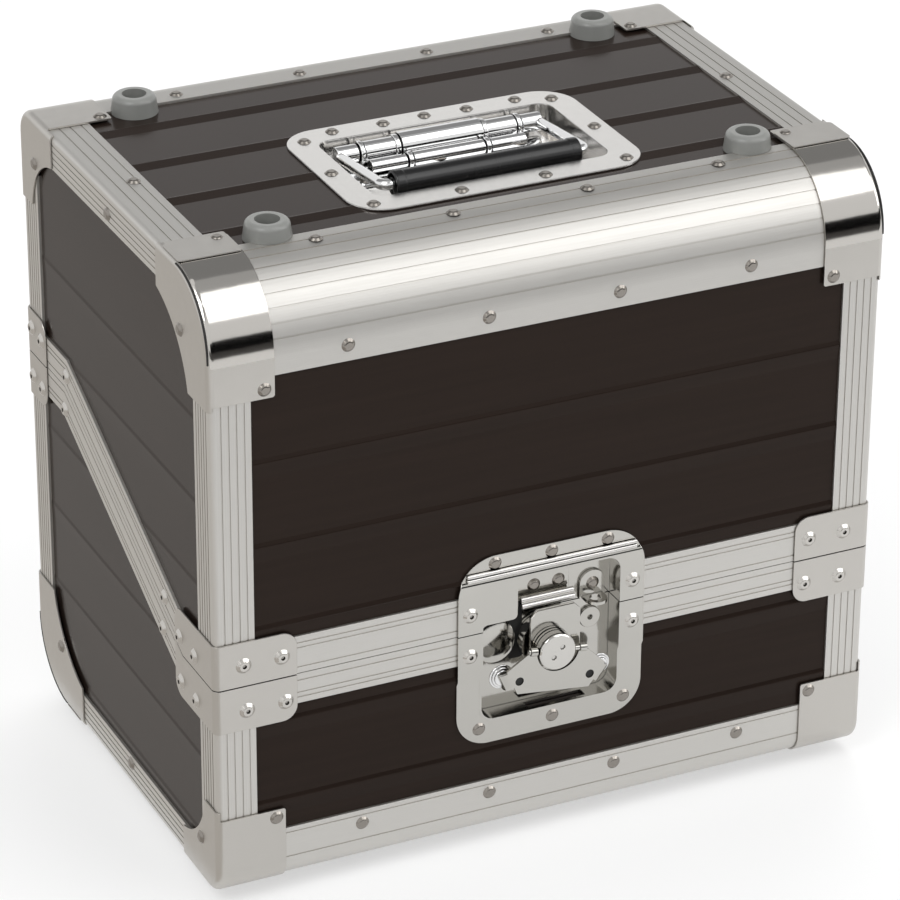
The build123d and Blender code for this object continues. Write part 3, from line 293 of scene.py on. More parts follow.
@dataclass(frozen=True)
class PressedSteel:
    """Zinc plated pressed sheet steel: satin white on the flanges, polished like a mirror where an arc is named."""

    name: str
    colour: str = "#bfbcb7"
    # Colour of the painted shade at laps and folds
    seam_shade: str = "#3a3632"
    roughness: float = 0.34
    polish: float = 0.11
    side_limit: float = 0.5
    arc: tuple[tuple[float, float], tuple[float, float]] | None = None

    def material(self) -> bpy.types.Material:
        """Build the plated steel, mirror bright between the arc's limits in Y and Z.

        Returns:
            The material of the sheet.
        """
        material, tree, output = blank_material(self.name)
        place = add_node(tree, "ShaderNodeTexCoord").outputs["Object"]
        # Plating leaves a soft mottle of a few millimetres
        mottle = add_node(tree, "ShaderNodeTexNoise", {"Vector": place, "Scale": 1 / (6 * MM), "Detail": 4.0})
        rough = add_node(
            tree,
            "ShaderNodeMapRange",
            {"Value": mottle.outputs[0], "To Min": self.roughness - 0.06, "To Max": self.roughness + 0.06},
        ).outputs[0]
        ripple = add_node(tree, "ShaderNodeTexNoise", {"Vector": place, "Scale": 1 / (22 * MM), "Detail": 2.0})
        bump = add_node(tree, "ShaderNodeBump", {"Height": ripple.outputs[0], "Strength": 0.25, "Distance": 0.4 * MM})
        if self.arc:
            axes = add_node(tree, "ShaderNodeSeparateXYZ", {0: place})
            along = inside(tree, axes.outputs[1], *self.arc[0])
            rise = inside(tree, axes.outputs[2], *self.arc[1])
            zone = add_node(tree, "ShaderNodeMath", {0: along, 1: rise}, operation="MULTIPLY")
            facing = add_node(tree, "ShaderNodeNewGeometry").outputs["True Normal"]
            sideways = add_node(tree, "ShaderNodeSeparateXYZ", {0: facing}).outputs[0]
            bent = inside(tree, sideways, -self.side_limit, self.side_limit)
            band = add_node(tree, "ShaderNodeMath", {0: zone.outputs[0], 1: bent}, operation="MULTIPLY")
            rough = add_node(
                tree, "ShaderNodeMix", {0: band.outputs[0], 2: rough, 3: self.polish}, data_type="FLOAT"
            ).outputs[0]
        metal = add_node(
            tree,
            "ShaderNodeBsdfPrincipled",
            {
                # Painted shade darkens the colour within 1.2 mm of a lap or fold
                "Base Color": shaded_in_recesses(tree, linear(self.colour), linear(self.seam_shade), 1.2 * MM),
                "Metallic": 1.0,
                "Roughness": rough,
                "Normal": bump.outputs[0],
            },
        )
        tree.links.new(metal.outputs[0], output.inputs[0])
        return material


@dataclass(frozen=True)
class MirrorChrome:
    """Bright chrome plate on pressed steel: a mirror with the slow waves that pressing leaves."""

    name: str = "mirror_chrome"
    colour: str = "#dedede"
    roughness: float = 0.06
    wave: float = 30 * MM
    depth: float = 0.5 * MM
    # Colour of the painted shade in bores, laps and grooves
    seam_shade: str = "#141414"
    reach: float = 1.6 * MM

    def material(self) -> bpy.types.Material:
        """Build the chrome.

        Returns:
            The material of the plated metal.
        """
        material, tree, output = blank_material(self.name)
        place = add_node(tree, "ShaderNodeTexCoord").outputs["Object"]
        waves = add_node(tree, "ShaderNodeTexNoise", {"Vector": place, "Scale": 1 / self.wave, "Detail": 2.0})
        bump = add_node(
            tree, "ShaderNodeBump", {"Height": waves.outputs[0], "Strength": 0.35, "Distance": self.depth}
        )
        haze = add_node(tree, "ShaderNodeTexNoise", {"Vector": place, "Scale": 1 / (3 * MM), "Detail": 3.0})
        rough = add_node(
            tree,
            "ShaderNodeMapRange",
            {"Value": haze.outputs[0], "To Min": self.roughness - 0.03, "To Max": self.roughness + 0.05},
        )
        metal = add_node(
            tree,
            "ShaderNodeBsdfPrincipled",
            {
                # Painted shade darkens the colour where surfaces close in within the reach
                "Base Color": shaded_in_recesses(tree, linear(self.colour), linear(self.seam_shade), self.reach),
                "Metallic": 1.0,
                "Roughness": rough.outputs[0],
                "Normal": bump.outputs[0],
            },
        )
        tree.links.new(metal.outputs[0], output.inputs[0])
        return material


@dataclass(frozen=True)
class MouldedRubber:
    """Moulded rubber or plastic: matt, with the fine sparkle of a textured mould."""

    name: str
    colour: str
    roughness: float
    grit: float = 0.6 * MM

    def material(self) -> bpy.types.Material:
        """Build the moulded surface.

        Returns:
            The material of the rubber or plastic.
        """
        material, tree, output = blank_material(self.name)
        place = add_node(tree, "ShaderNodeTexCoord").outputs["Object"]
        grain = add_node(tree, "ShaderNodeTexNoise", {"Vector": place, "Scale": 1 / self.grit, "Detail": 2.0})
        bump = add_node(tree, "ShaderNodeBump", {"Height": grain.outputs[0], "Strength": 0.12, "Distance": 0.1 * MM})
        cloud = add_node(tree, "ShaderNodeTexNoise", {"Vector": place, "Scale": 1 / (14 * MM), "Detail": 2.0})
        rough = add_node(
            tree,
            "ShaderNodeMapRange",
            {"Value": cloud.outputs[0], "To Min": self.roughness - 0.05, "To Max": self.roughness + 0.08},
        )
        skin = add_node(
            tree,
            "ShaderNodeBsdfPrincipled",
            {"Base Color": linear(self.colour), "Roughness": rough.outputs[0], "Normal": bump.outputs[0]},
        )
        tree.links.new(skin.outputs[0], output.inputs[0])
        return material


@dataclass(frozen=True)
class CellFoam:
    """Closed-cell foam: charcoal, dull, pitted by cut cells of about 1.5 mm."""

    colour: str = "#252527"
    pale: str = "#38383b"
    cell: float = 1.5 * MM

    def material(self) -> bpy.types.Material:
        """Build the foam.

        Returns:
            The material of the pads.
        """
        material, tree, output = blank_material("closed_cell_foam")
        place = add_node(tree, "ShaderNodeTexCoord").outputs["Object"]
        cells = add_node(tree, "ShaderNodeTexVoronoi", {"Vector": place, "Scale": 1 / self.cell})
        colour = add_node(
            tree,
            "ShaderNodeMix",
            {0: cells.outputs["Distance"], 6: linear(self.colour), 7: linear(self.pale)},
            data_type="RGBA",
        )
        bump = add_node(
            tree, "ShaderNodeBump", {"Height": cells.outputs["Distance"], "Strength": 0.6, "Distance": 0.4 * MM}
        )
        skin = add_node(
            tree,
            "ShaderNodeBsdfPrincipled",
            {"Base Color": colour.outputs[2], "Roughness": 0.95, "Normal": bump.outputs[0]},
        )
        tree.links.new(skin.outputs[0], output.inputs[0])
        return material


def deselect() -> None:
    """Leave edit mode and deselect everything."""
    if bpy.context.object and bpy.context.object.mode != "OBJECT":
        bpy.ops.object.mode_set(mode="OBJECT")
    bpy.ops.object.select_all(action="DESELECT")


def hold(piece: bpy.types.Object) -> bpy.types.Object:
    """Make a piece the only selected and the active one.

    Args:
        piece: Piece to work on next.

    Returns:
        The same piece.
    """
    deselect()
    piece.select_set(True)
    bpy.context.view_layer.objects.active = piece
    return piece


def settle(piece: bpy.types.Object) -> bpy.types.Object:
    """Put a piece's place into its mesh, so that its object sits at the origin.

    Args:
        piece: Piece to change.

    Returns:
        The same piece.
    """
    hold(piece)
    bpy.ops.object.transform_apply(location=True, rotation=True, scale=True)
    return piece


def dress(piece: bpy.types.Object, material: bpy.types.Material) -> None:
    """Give a piece one material."""
    piece.data.materials.clear()
    piece.data.materials.append(material)


def mount(
    piece: bpy.types.Object, name: str, body: str, slot: str, material: bpy.types.Material, *nodes: str
) -> bpy.types.Object:
    """Name and dress a finished piece, and let it ride in place of its CAD nodes.

    Args:
        piece: Finished piece, with its place in its mesh.
        name: Name that it is listed under.
        body: CAD body that it rides on.
        slot: Material slot of the record; not used.
        material: Finish.
        *nodes: CAD nodes that it stands for.

    Returns:
        The same piece.
    """
    piece.name = name
    piece.data.name = name
    dress(piece, material)
    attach(piece, body)
    if nodes:
        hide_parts(*nodes)
    LOG.info("%s rides on %s with %d faces", name, body, len(piece.data.polygons))
    return piece


def merged_copy(node: str) -> bpy.types.Object:
    """Copy a CAD node with its loose triangles joined into flat faces.

    Args:
        node: Name of the CAD node.

    Returns:
        A new object, at the origin.
    """
    piece = bpy.data.objects.new(node + "_metal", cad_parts[node].data.copy())
    bpy.context.scene.collection.objects.link(piece)
    hold(piece)
    if piece.data.has_custom_normals:
        bpy.ops.mesh.customdata_custom_splitnormals_clear()
    bpy.ops.object.mode_set(mode="EDIT")
    bpy.ops.mesh.select_all(action="SELECT")
    bpy.ops.mesh.remove_doubles(threshold=0.002 * MM)
    bpy.ops.mesh.dissolve_limited(angle_limit=math.radians(0.4))
    bpy.ops.object.mode_set(mode="OBJECT")
    return piece


def roll_edges(
    piece: bpy.types.Object, chosen: Callable[[Vector, Vector], bool], radius: float, segments: int = 4
) -> None:
    """Round the edges whose two ends pass a test.

    Args:
        piece: Piece to change.
        chosen: Test that takes both ends of an edge, in metres.
        radius: Radius of the rounding in metres.
        segments: Number of faces across it.
    """
    hold(piece)
    mesh = piece.data
    for part in (mesh.polygons, mesh.edges, mesh.vertices):
        part.foreach_set("select", [False] * len(part))
    for edge in mesh.edges:
        ends = [mesh.vertices[i].co for i in edge.vertices]
        edge.select = chosen(*ends)
    bpy.ops.object.mode_set(mode="EDIT")
    bpy.ops.mesh.select_mode(type="EDGE")
    bpy.ops.mesh.bevel(offset=radius, segments=segments, affect="EDGES", clamp_overlap=True)
    bpy.ops.object.mode_set(mode="OBJECT")


def soften(piece: bpy.types.Object, radius: float, segments: int = 2, angle: float = 35.0) -> bpy.types.Object:
    """Round every sharp edge of a piece a little and shade it smooth.

    Args:
        piece: Piece to change.
        radius: Radius of the rounding in metres.
        segments: Number of faces across it.
        angle: Angle between two faces past which their edge is rounded, in degrees.

    Returns:
        The same piece.
    """
    hold(piece)
    bevel = piece.modifiers.new("rolled_edges", "BEVEL")
    bevel.width = radius
    bevel.segments = segments
    bevel.limit_method = "ANGLE"
    bevel.angle_limit = math.radians(angle)
    bevel.use_clamp_overlap = True
    bpy.ops.object.modifier_apply(modifier=bevel.name)
    bpy.ops.object.shade_smooth_by_angle(angle=math.radians(40))
    # Large faces keep their own direction, so that flat sheet mirrors like flat sheet
    flat = piece.modifiers.new("flat_faces", "WEIGHTED_NORMAL")
    flat.weight = 100
    flat.keep_sharp = True
    bpy.ops.object.modifier_apply(modifier=flat.name)
    return piece


def bar(centre: tuple[float, float, float], radius: float, length: float, axis: str, rim: float) -> bpy.types.Object:
    """Round bar with rounded ends.

    Args:
        centre: Middle of the bar in metres.
        radius: Its radius in metres.
        length: Its length in metres.
        axis: Direction that it runs in, X, Y or Z.
        rim: Radius of its end edges in metres.

    Returns:
        The bar, with its place in its mesh.
    """
    deselect()
    turn = {"X": (0, math.pi / 2, 0), "Y": (math.pi / 2, 0, 0), "Z": (0, 0, 0)}[axis]
    bpy.ops.mesh.primitive_cylinder_add(vertices=40, radius=radius, depth=length, location=centre, rotation=turn)
    return soften(settle(bpy.context.object), rim, 4, 50)


def slab(
    centre: tuple[float, float, float], size: tuple[float, float, float], thin: int, corner: float, rim: float
) -> bpy.types.Object:
    """Flat plate with rounded corners and softened rims.

    Args:
        centre: Middle of the plate in metres.
        size: Its three sides in metres.
        thin: Number of the axis that it is thin along.
        corner: Radius of its corners in metres.
        rim: Radius of its rims in metres.

    Returns:
        The plate, with its place in its mesh.
    """
    deselect()
    bpy.ops.mesh.primitive_cube_add(size=1, location=centre)
    plate = bpy.context.object
    plate.scale = size
    settle(plate)
    half = size[thin] / 2
    roll_edges(plate, lambda a, b: abs(abs(a[thin] - b[thin]) - 2 * half) < 0.001 * MM, corner, 6)
    return soften(plate, rim, 2, 50)


def joined(pieces: list[bpy.types.Object]) -> bpy.types.Object:
    """Join pieces of one pressing into its first one.

    Args:
        pieces: Pieces to join.

    Returns:
        The first piece, which holds them all.
    """
    hold(pieces[0])
    for piece in pieces[1:]:
        piece.select_set(True)
    bpy.ops.object.join()
    return pieces[0]


@dataclass
class Panels:
    """Boards of the lid and the base under their laminate, with the ribs standing out."""

    levels: Levels
    sink: float = 1.6 * MM
    crease: float = 0.9 * MM
    crest: float = 1.0 * MM
    crest_round: float = 0.5 * MM

    def raise_ribs(self, piece: bpy.types.Object, axis: int, face: float) -> None:
        """Turn the pressed creases of one board out into ribs.

        Args:
            piece: Board to change.
            axis: Number of the axis that the board faces along.
            face: Place of its outer face along that axis.
        """
        hold(piece)
        mesh = piece.data
        for part in (mesh.polygons, mesh.edges, mesh.vertices):
            part.foreach_set("select", [False] * len(part))
        for vertex in mesh.vertices:
            depth = (face - vertex.co[axis]) * math.copysign(1, face)
            vertex.select = 0.01 * MM < depth < self.crease + 0.05 * MM
        bpy.ops.object.mode_set(mode="EDIT")
        bpy.ops.mesh.select_mode(type="VERT")
        factors = [1.0, 1.0, 1.0]
        factors[axis] = -self.crest / self.crease
        pivot = [0.0, 0.0, 0.0]
        pivot[axis] = face
        bpy.ops.transform.resize(value=factors, center_override=pivot)
        bpy.ops.object.mode_set(mode="OBJECT")
        self.round_crests(piece, axis, face)
        bpy.ops.object.mode_set(mode="EDIT")
        bpy.ops.mesh.select_all(action="SELECT")
        bpy.ops.mesh.normals_make_consistent(inside=False)
        bpy.ops.object.mode_set(mode="OBJECT")

    def round_crests(self, piece: bpy.types.Object, axis: int, face: float) -> None:
        """Round the crest of every rib of one board.

        Args:
            piece: Board to change.
            axis: Number of the axis that the board faces along.
            face: Place of its outer face along that axis.
        """
        crest = face + math.copysign(self.crest, face)
        near = 0.02 * MM
        roll_edges(piece, lambda a, b: max(abs(a[axis] - crest), abs(b[axis] - crest)) < near, self.crest_round, 2)

    def build(self) -> None:
        """Press the ribs into a copy of each board and give it the laminate."""
        levels = self.levels
        laminate = GlossLaminate(levels).material()
        faces = {
            "left": (0, self.sink - levels.half_width),
            "right": (0, levels.half_width - self.sink),
            "front": (1, levels.front + self.sink),
            "rear": (1, levels.rear - self.sink),
            "top": (2, levels.top - self.sink),
        }
        for node in [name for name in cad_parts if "_panel_" in name]:
            side = node.rsplit("_", 1)[1]
            body = node.split("_", 1)[0]
            piece = merged_copy(node)
            if side in faces:
                self.raise_ribs(piece, *faces[side])
                hold(piece)
                bpy.ops.object.shade_smooth_by_angle(angle=math.radians(3))
            mount(piece, node + "_board", body, "laminate_ply", laminate, node)


@dataclass
class EdgeProfiles:
    """Grooved aluminium along every edge of the case and along its parting."""

    faces: dict[str, Face] = field(
        default_factory=lambda: {
            "profile_round": Face.ACROSS_Z,
            "profile_top_rear": Face.ACROSS_Z,
            "profile_bottom_front": Face.ACROSS_Z,
            "profiles_top_side": Face.ACROSS_X,
            "profiles_bottom_side": Face.ACROSS_X,
            "profiles_front_edge": Face.ACROSS_X,
            "profiles_rear_edge": Face.ACROSS_X,
            "closure_front": Face.ACROSS_Z,
            "closure_rear": Face.ACROSS_Z,
            "closure_left": Face.ACROSS_SLOPE,
            "closure_right": Face.ACROSS_SLOPE,
        }
    )

    def dress(self) -> None:
        """Give each CAD profile the metal with its lines the right way."""
        metals = {face: DrawnAluminium(face).material() for face in Face}
        for node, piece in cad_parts.items():
            for ending, face in self.faces.items():
                if ending in node:
                    dress(piece, metals[face])


@dataclass
class SheetMetal:
    """Corner caps, parting plates and hinge leaves."""

    levels: Levels
    edge: float = 0.45 * MM
    round_reach: float = 44 * MM
    cap_sheet: float = 1.2 * MM
    lap_plate: tuple[float, float, float] = (37 * MM, 24 * MM, 0.7 * MM)
    seam_radius: float = 0.55 * MM
    seam_stands: tuple[float, float] = (0.78 * MM, 0.68 * MM)

    def build(self) -> None:
        """Round the sheet edges of each cap, plate and leaf and dress them."""
        levels = self.levels
        outside = 5 * MM
        high_arc = (
            (levels.front - outside, levels.front + self.round_reach),
            (levels.top - self.round_reach, levels.top + outside),
        )
        low_arc = (
            (levels.rear - self.round_reach, levels.rear + outside),
            (levels.bottom - outside, levels.bottom + self.round_reach),
        )
        plain = PressedSteel("plated_sheet_steel").material()
        finishes = {
            "lid_corners_front": PressedSteel("plated_steel_polished_high_arc", arc=high_arc).material(),
            "base_corners_rear": PressedSteel("plated_steel_polished_low_arc", arc=low_arc).material(),
        }
        for node in (
            "lid_corners_front",
            "lid_corners_rear",
            "base_corners_front",
            "base_corners_rear",
            "lid_plates",
            "base_plates",
            "hinge_leaves_lid",
            "hinge_leaves_base",
        ):
            body = "lid" if "lid" in node else "base"
            piece = soften(merged_copy(node), self.edge)
            mount(piece, node + "_sheet", body, "zinc_plated_steel", finishes.get(node, plain), node)
        dress(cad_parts["hinge_pins"], plain)
        # Dark strips along the joins of the round caps are painted shadow of the gaps there
        shadow = MouldedRubber("painted_seam_shadow", "#161413", roughness=0.6).material()
        for name, body, rear in (("lid_cap", "lid", False), ("base_cap", "base", True)):
            mount(self.laps(rear), name + "_lap_plates", body, "zinc_plated_steel", plain)
            mount(self.seams(rear), name + "_seam_shadows", body, "zinc_plated_steel", shadow)

    def turned(self, piece: bpy.types.Object, rear: bool) -> bpy.types.Object:
        """Turn a piece of the lid's front caps round to the base's rear caps when asked.

        Args:
            piece: Piece in its place on the lid.
            rear: Whether it belongs underneath at the rear instead.

        Returns:
            The same piece.
        """
        if not rear:
            return piece
        levels = self.levels
        hold(piece)
        bpy.ops.object.mode_set(mode="EDIT")
        bpy.ops.mesh.select_all(action="SELECT")
        bpy.ops.transform.rotate(
            value=math.pi,
            orient_axis="X",
            center_override=(0, levels.mid, (levels.bottom + levels.top) / 2),
        )
        bpy.ops.object.mode_set(mode="OBJECT")
        return piece

    def laps(self, rear: bool) -> bpy.types.Object:
        """Lay the flat lap plate over the flange of each round cap.

        Args:
            rear: Whether the plates belong underneath at the rear instead of on top at the front.

        Returns:
            Both plates as one piece.
        """
        levels = self.levels
        wide, deep, thick = self.lap_plate
        outer = levels.half_width + self.cap_sheet
        top = levels.top + self.cap_sheet
        start = levels.front + self.round_reach - 5 * MM
        plates = []
        for side in (-1, 1):
            centre = (side * (outer - wide / 2 - 0.8 * MM), start + deep / 2, top + 0.5 * thick - 0.1 * MM)
            plates.append(slab(centre, (wide, deep, thick), 2, 2.5 * MM, 0.25 * MM))
        return self.turned(joined(plates), rear)

    def seams(self, rear: bool) -> bpy.types.Object:
        """Lay a dark strip of painted shadow along the join between the arc of each round cap and its side flange.

        Args:
            rear: Whether the strips belong underneath at the rear instead of on top at the front.

        Returns:
            Both shadow strips as one piece.
        """
        levels = self.levels
        reach = self.round_reach - 2 * MM
        bends = []
        for side, stand in zip((-1, 1), self.seam_stands):
            deselect()
            bpy.ops.mesh.primitive_torus_add(
                location=(side * (levels.half_width + stand), levels.front + reach, levels.top - reach),
                rotation=(0, math.pi / 2, 0),
                major_segments=96,
                minor_segments=8,
                major_radius=reach - 0.4 * MM,
                minor_radius=self.seam_radius,
            )
            bend = hold(settle(bpy.context.object))
            bpy.ops.object.mode_set(mode="EDIT")
            for normal in ((0, 1, 0), (0, 0, -1)):
                bpy.ops.mesh.select_all(action="SELECT")
                bpy.ops.mesh.bisect(
                    plane_co=(0, levels.front + reach, levels.top - reach),
                    plane_no=normal,
                    clear_outer=True,
                    use_fill=True,
                )
            bpy.ops.object.mode_set(mode="OBJECT")
            bpy.ops.object.shade_smooth_by_angle(angle=math.radians(50))
            bends.append(bend)
        return self.turned(joined(bends), rear)


@dataclass
class Rivets:
    """Rivet and screw heads."""

    def dress(self) -> None:
        """Give the CAD heads nickel plate, duller on the split rivets than on the blind ones."""
        # Both nickels take painted shade up to 2.2 mm into the bores and around the heads' rims
        nickel = MirrorChrome(
            "nickel_plate", "#c2bfba", roughness=0.2, wave=4 * MM, depth=0.2 * MM, reach=2.2 * MM
        ).material()
        dull = MirrorChrome(
            "dull_nickel_plate", "#8f8a84", roughness=0.22, wave=4 * MM, depth=0.3 * MM, reach=2.2 * MM
        ).material()
        for node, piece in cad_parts.items():
            if node.endswith("_split_rivets"):
                dress(piece, dull)
            elif node.endswith("_rivets") or node.endswith("_screws"):
                dress(piece, nickel)


@dataclass
class Feet:
    """Rubber feet on the lid and underneath."""

    def build(self) -> None:
        """Round the feet and dress them."""
        rubber = MouldedRubber("grey_moulded_rubber", "#7a7b78", roughness=0.3).material()
        for node, body in (("top_feet", "lid"), ("base_feet", "base")):
            piece = soften(merged_copy(node), 0.8 * MM, 3)
            mount(piece, node + "_rubber", body, "grey_rubber", rubber, node)


@dataclass
class Linings:
    """Foam pads on the floor of the base and under the lid."""

    edge: float = 2.5 * MM

    def build(self) -> None:
        """Round the pads' cut edges and dress them."""
        foam = CellFoam().material()
        for node, body in (("lid_foam", "lid"), ("base_foam", "base")):
            piece = soften(merged_copy(node), self.edge, 3)
            mount(piece, node + "_pad", body, "foam", foam, node)


@dataclass
class Handle:
    """Sprung handle in its recessed dish."""

    sheet_edge: float = 0.5 * MM
    pivot: tuple[float, float] = (13.45 * MM, 372.4 * MM)
    tube_rim: float = 0.9 * MM
    front_row: tuple[float, float] = (0.6 * MM, 368.6 * MM)
    row_rim: float = 0.8 * MM
    grip_line: tuple[float, float] = (-48.05 * MM, 379.1 * MM)
    grip_half: float = 56.5 * MM
    grip_edge: float = 0.4 * MM
    ferrule: tuple[float, float] = (7.8 * MM, 6.4 * MM)

    def tubes(self) -> bpy.types.Object:
        """Press the stepped tubes and collars over the pivot wire beside the spring cover.

        Returns:
            Both rows of tubes as one piece.
        """
        # Each step is its place along X, its radius and its length in millimetres
        steps = ((27.0, 7.2, 3.2), (37.5, 6.2, 19.0), (48.6, 6.9, 2.6), (57.0, 5.6, 13.0))
        pieces = [
            bar((side * along * MM, *self.pivot), radius * MM, length * MM, "X", self.tube_rim)
            for side in (-1, 1)
            for along, radius, length in steps
        ]
        row = ((0.0, 4.6, 44.0), (-24.0, 5.2, 2.6), (24.0, 5.2, 2.6), (-37.0, 4.2, 22.0), (37.0, 4.2, 22.0))
        pieces += [
            bar((along * MM, *self.front_row), radius * MM, length * MM, "X", self.row_rim)
            for along, radius, length in row
        ]
        return joined(pieces)

    def ferrules(self) -> bpy.types.Object:
        """Turn the thicker ends of the grip.

        Returns:
            Both ends as one piece.
        """
        radius, length = self.ferrule
        middle = self.grip_half - length / 2
        ends = [bar((side * middle, *self.grip_line), radius, length, "X", 1.2 * MM) for side in (-1, 1)]
        return joined(ends)

    def build(self) -> None:
        """Round the pressed metal of the handle and dress it."""
        chrome = MirrorChrome("handle_chrome").material()
        plate = MirrorChrome("handle_plate_chrome", "#dddbd8", roughness=0.2, depth=0.1 * MM).material()
        grip = MouldedRubber("black_grip_plastic", "#0d0d0e", roughness=0.24).material()
        for node, body, metal in (
            ("handle_dish", "lid", plate),
            ("handle_saddle", "lid", chrome),
            ("handle_bail", "handle", chrome),
        ):
            mount(soften(merged_copy(node), self.sheet_edge), node + "_metal", body, "bright_chrome", metal, node)
        tube = soften(merged_copy("handle_grip"), self.grip_edge)
        mount(tube, "handle_grip_tube", "handle", "black_grip", grip, "handle_grip")
        mount(self.tubes(), "handle_pivot_tubes", "lid", "bright_chrome", chrome)
        mount(self.ferrules(), "handle_grip_ends", "handle", "black_grip", grip)
        dress(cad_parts["handle_spring"], chrome)


@dataclass
class Latch:
    """Recessed twist latch with its dish, hook, cam and folding wings."""

    sheet_edge: float = 0.4 * MM
    flange_y: float = -139.05 * MM
    floor_y: float = -125.55 * MM
    disc_y: float = -143.8 * MM
    wing_holes: tuple[tuple[float, float], ...] = ((-22.6, 108.0), (21.5, 102.6))

    def fold(self) -> bpy.types.Object:
        """Press the double fold across the upper flange.

        Returns:
            Both folds as one piece.
        """
        lines = [
            bar((0, self.flange_y + 0.3 * MM, z * MM), 1.2 * MM, 105 * MM, "X", 0.3 * MM) for z in (174.9, 177.6)
        ]
        return joined(lines)

    def bulge(self) -> bpy.types.Object:
        """Press the low dome into the floor of the dish, left of the hook.

        Returns:
            The dome.
        """
        deselect()
        bpy.ops.mesh.primitive_uv_sphere_add(
            segments=40,
            ring_count=20,
            radius=1,
            location=(-28 * MM, self.floor_y + 1 * MM, 125 * MM),
            scale=(13 * MM, 2.9 * MM, 15 * MM),
        )
        dome = hold(settle(bpy.context.object))
        bpy.ops.object.mode_set(mode="EDIT")
        bpy.ops.mesh.select_all(action="SELECT")
        bpy.ops.mesh.bisect(
            plane_co=(0, self.floor_y + 0.2 * MM, 0), plane_no=(0, 1, 0), clear_outer=True, use_fill=True
        )
        bpy.ops.object.mode_set(mode="OBJECT")
        bpy.ops.object.shade_smooth_by_angle(angle=math.radians(40))
        return dome

    def lips(self) -> bpy.types.Object:
        """Roll the two lips along the lower edge of the keeper.

        Returns:
            Both lips as one piece.
        """
        rolls = [
            bar((0.3 * MM, y * MM, z * MM), radius * MM, 33 * MM, "X", 0.7 * MM)
            for y, z, radius in ((-131.9, 151.9, 1.6), (-133.2, 148.4, 1.7))
        ]
        return joined(rolls)

    def shelf(self) -> bpy.types.Object:
        """Press the raised shelf into the upper left corner of the dish."""
        return slab((-30.5 * MM, -129.6 * MM, 155.2 * MM), (24 * MM, 8.2 * MM, 27.5 * MM), 1, 3 * MM, 0.5 * MM)

    def slot(self) -> bpy.types.Object:
        """Lay a dark plate of painted shadow on the floor of the dish, in the slot beside the hook through which the
        cam reaches it.
        """
        centre = (-16.4 * MM, self.floor_y - 0.15 * MM, 131 * MM)
        return slab(centre, (8.4 * MM, 0.5 * MM, 38 * MM), 1, 1.5 * MM, 0.1 * MM)

    def hole_shadows(self) -> bpy.types.Object:
        """Close the two holes of the wings from behind with dark discs of painted shadow."""
        discs = [bar((x * MM, self.disc_y, z * MM), 2.7 * MM, 0.6 * MM, "Y", 0.1 * MM) for x, z in self.wing_holes]
        return joined(discs)

    def curls(self) -> bpy.types.Object:
        """Turn the stepped round bosses behind the tips of the wings.

        Returns:
            All bosses as one piece.
        """
        # Each step is its place along Y, its share of the tip's radius and its thickness.
        # They stay in front of the padlock staple's ring, which the left tip passes when the latch turns.
        steps = ((-139.2, 1.0, 1.0), (-139.8, 0.82, 1.6), (-140.6, 0.64, 1.8))
        tips = ((-31.4, 110.4, 7.4), (30.4, 104.6, 6.2))
        discs = [
            bar((x * MM, y * MM, z * MM), radius * share * MM, thick * MM, "Y", 0.45 * MM)
            for x, z, radius in tips
            for y, share, thick in steps
        ]
        return joined(discs)

    def build(self) -> None:
        """Round the pressed metal of the latch and dress it."""
        chrome = MirrorChrome("latch_chrome", wave=14 * MM).material()
        wave = 20 * MM
        plate = MirrorChrome(
            "latch_plate_chrome", "#b9b7b2", roughness=0.11, wave=wave, depth=0.08 * MM, reach=0.9 * MM
        ).material()
        boss = MirrorChrome("latch_boss_chrome", "#c8c6c2", roughness=0.1, wave=wave, depth=0.08 * MM).material()
        bead = MirrorChrome("latch_bead_chrome", "#dddbd8", roughness=0.32, wave=wave, depth=0.05 * MM).material()
        # Near-black painted shadow for the wing holes and for the slot beside the hook
        opening_shadow = MouldedRubber("painted_opening_shadow", "#0b0b0b", roughness=0.5).material()
        for node, body, metal in (
            ("latch_dish_upper", "lid", plate),
            ("latch_dish_lower", "base", plate),
            ("latch_keeper", "lid", plate),
            ("padlock_staple", "lid", plate),
            ("latch_washers", "base", plate),
            ("latch_cam", "cam", boss),
            ("latch_hook", "hook", plate),
            ("latch_butterfly", "wings", plate),
        ):
            mount(soften(merged_copy(node), self.sheet_edge), node + "_metal", body, "bright_chrome", metal, node)
        mount(self.fold(), "latch_flange_fold", "lid", "bright_chrome", bead)
        mount(self.bulge(), "latch_floor_bulge", "base", "bright_chrome", plate)
        mount(self.lips(), "latch_keeper_lips", "lid", "bright_chrome", bead)
        mount(self.curls(), "latch_wing_curls", "wings", "bright_chrome", chrome)
        mount(self.hole_shadows(), "latch_wing_hole_shadows", "wings", "bright_chrome", opening_shadow)
        mount(self.shelf(), "latch_dish_shelf", "lid", "bright_chrome", plate)
        mount(self.slot(), "latch_slot_shadow", "base", "bright_chrome", opening_shadow)


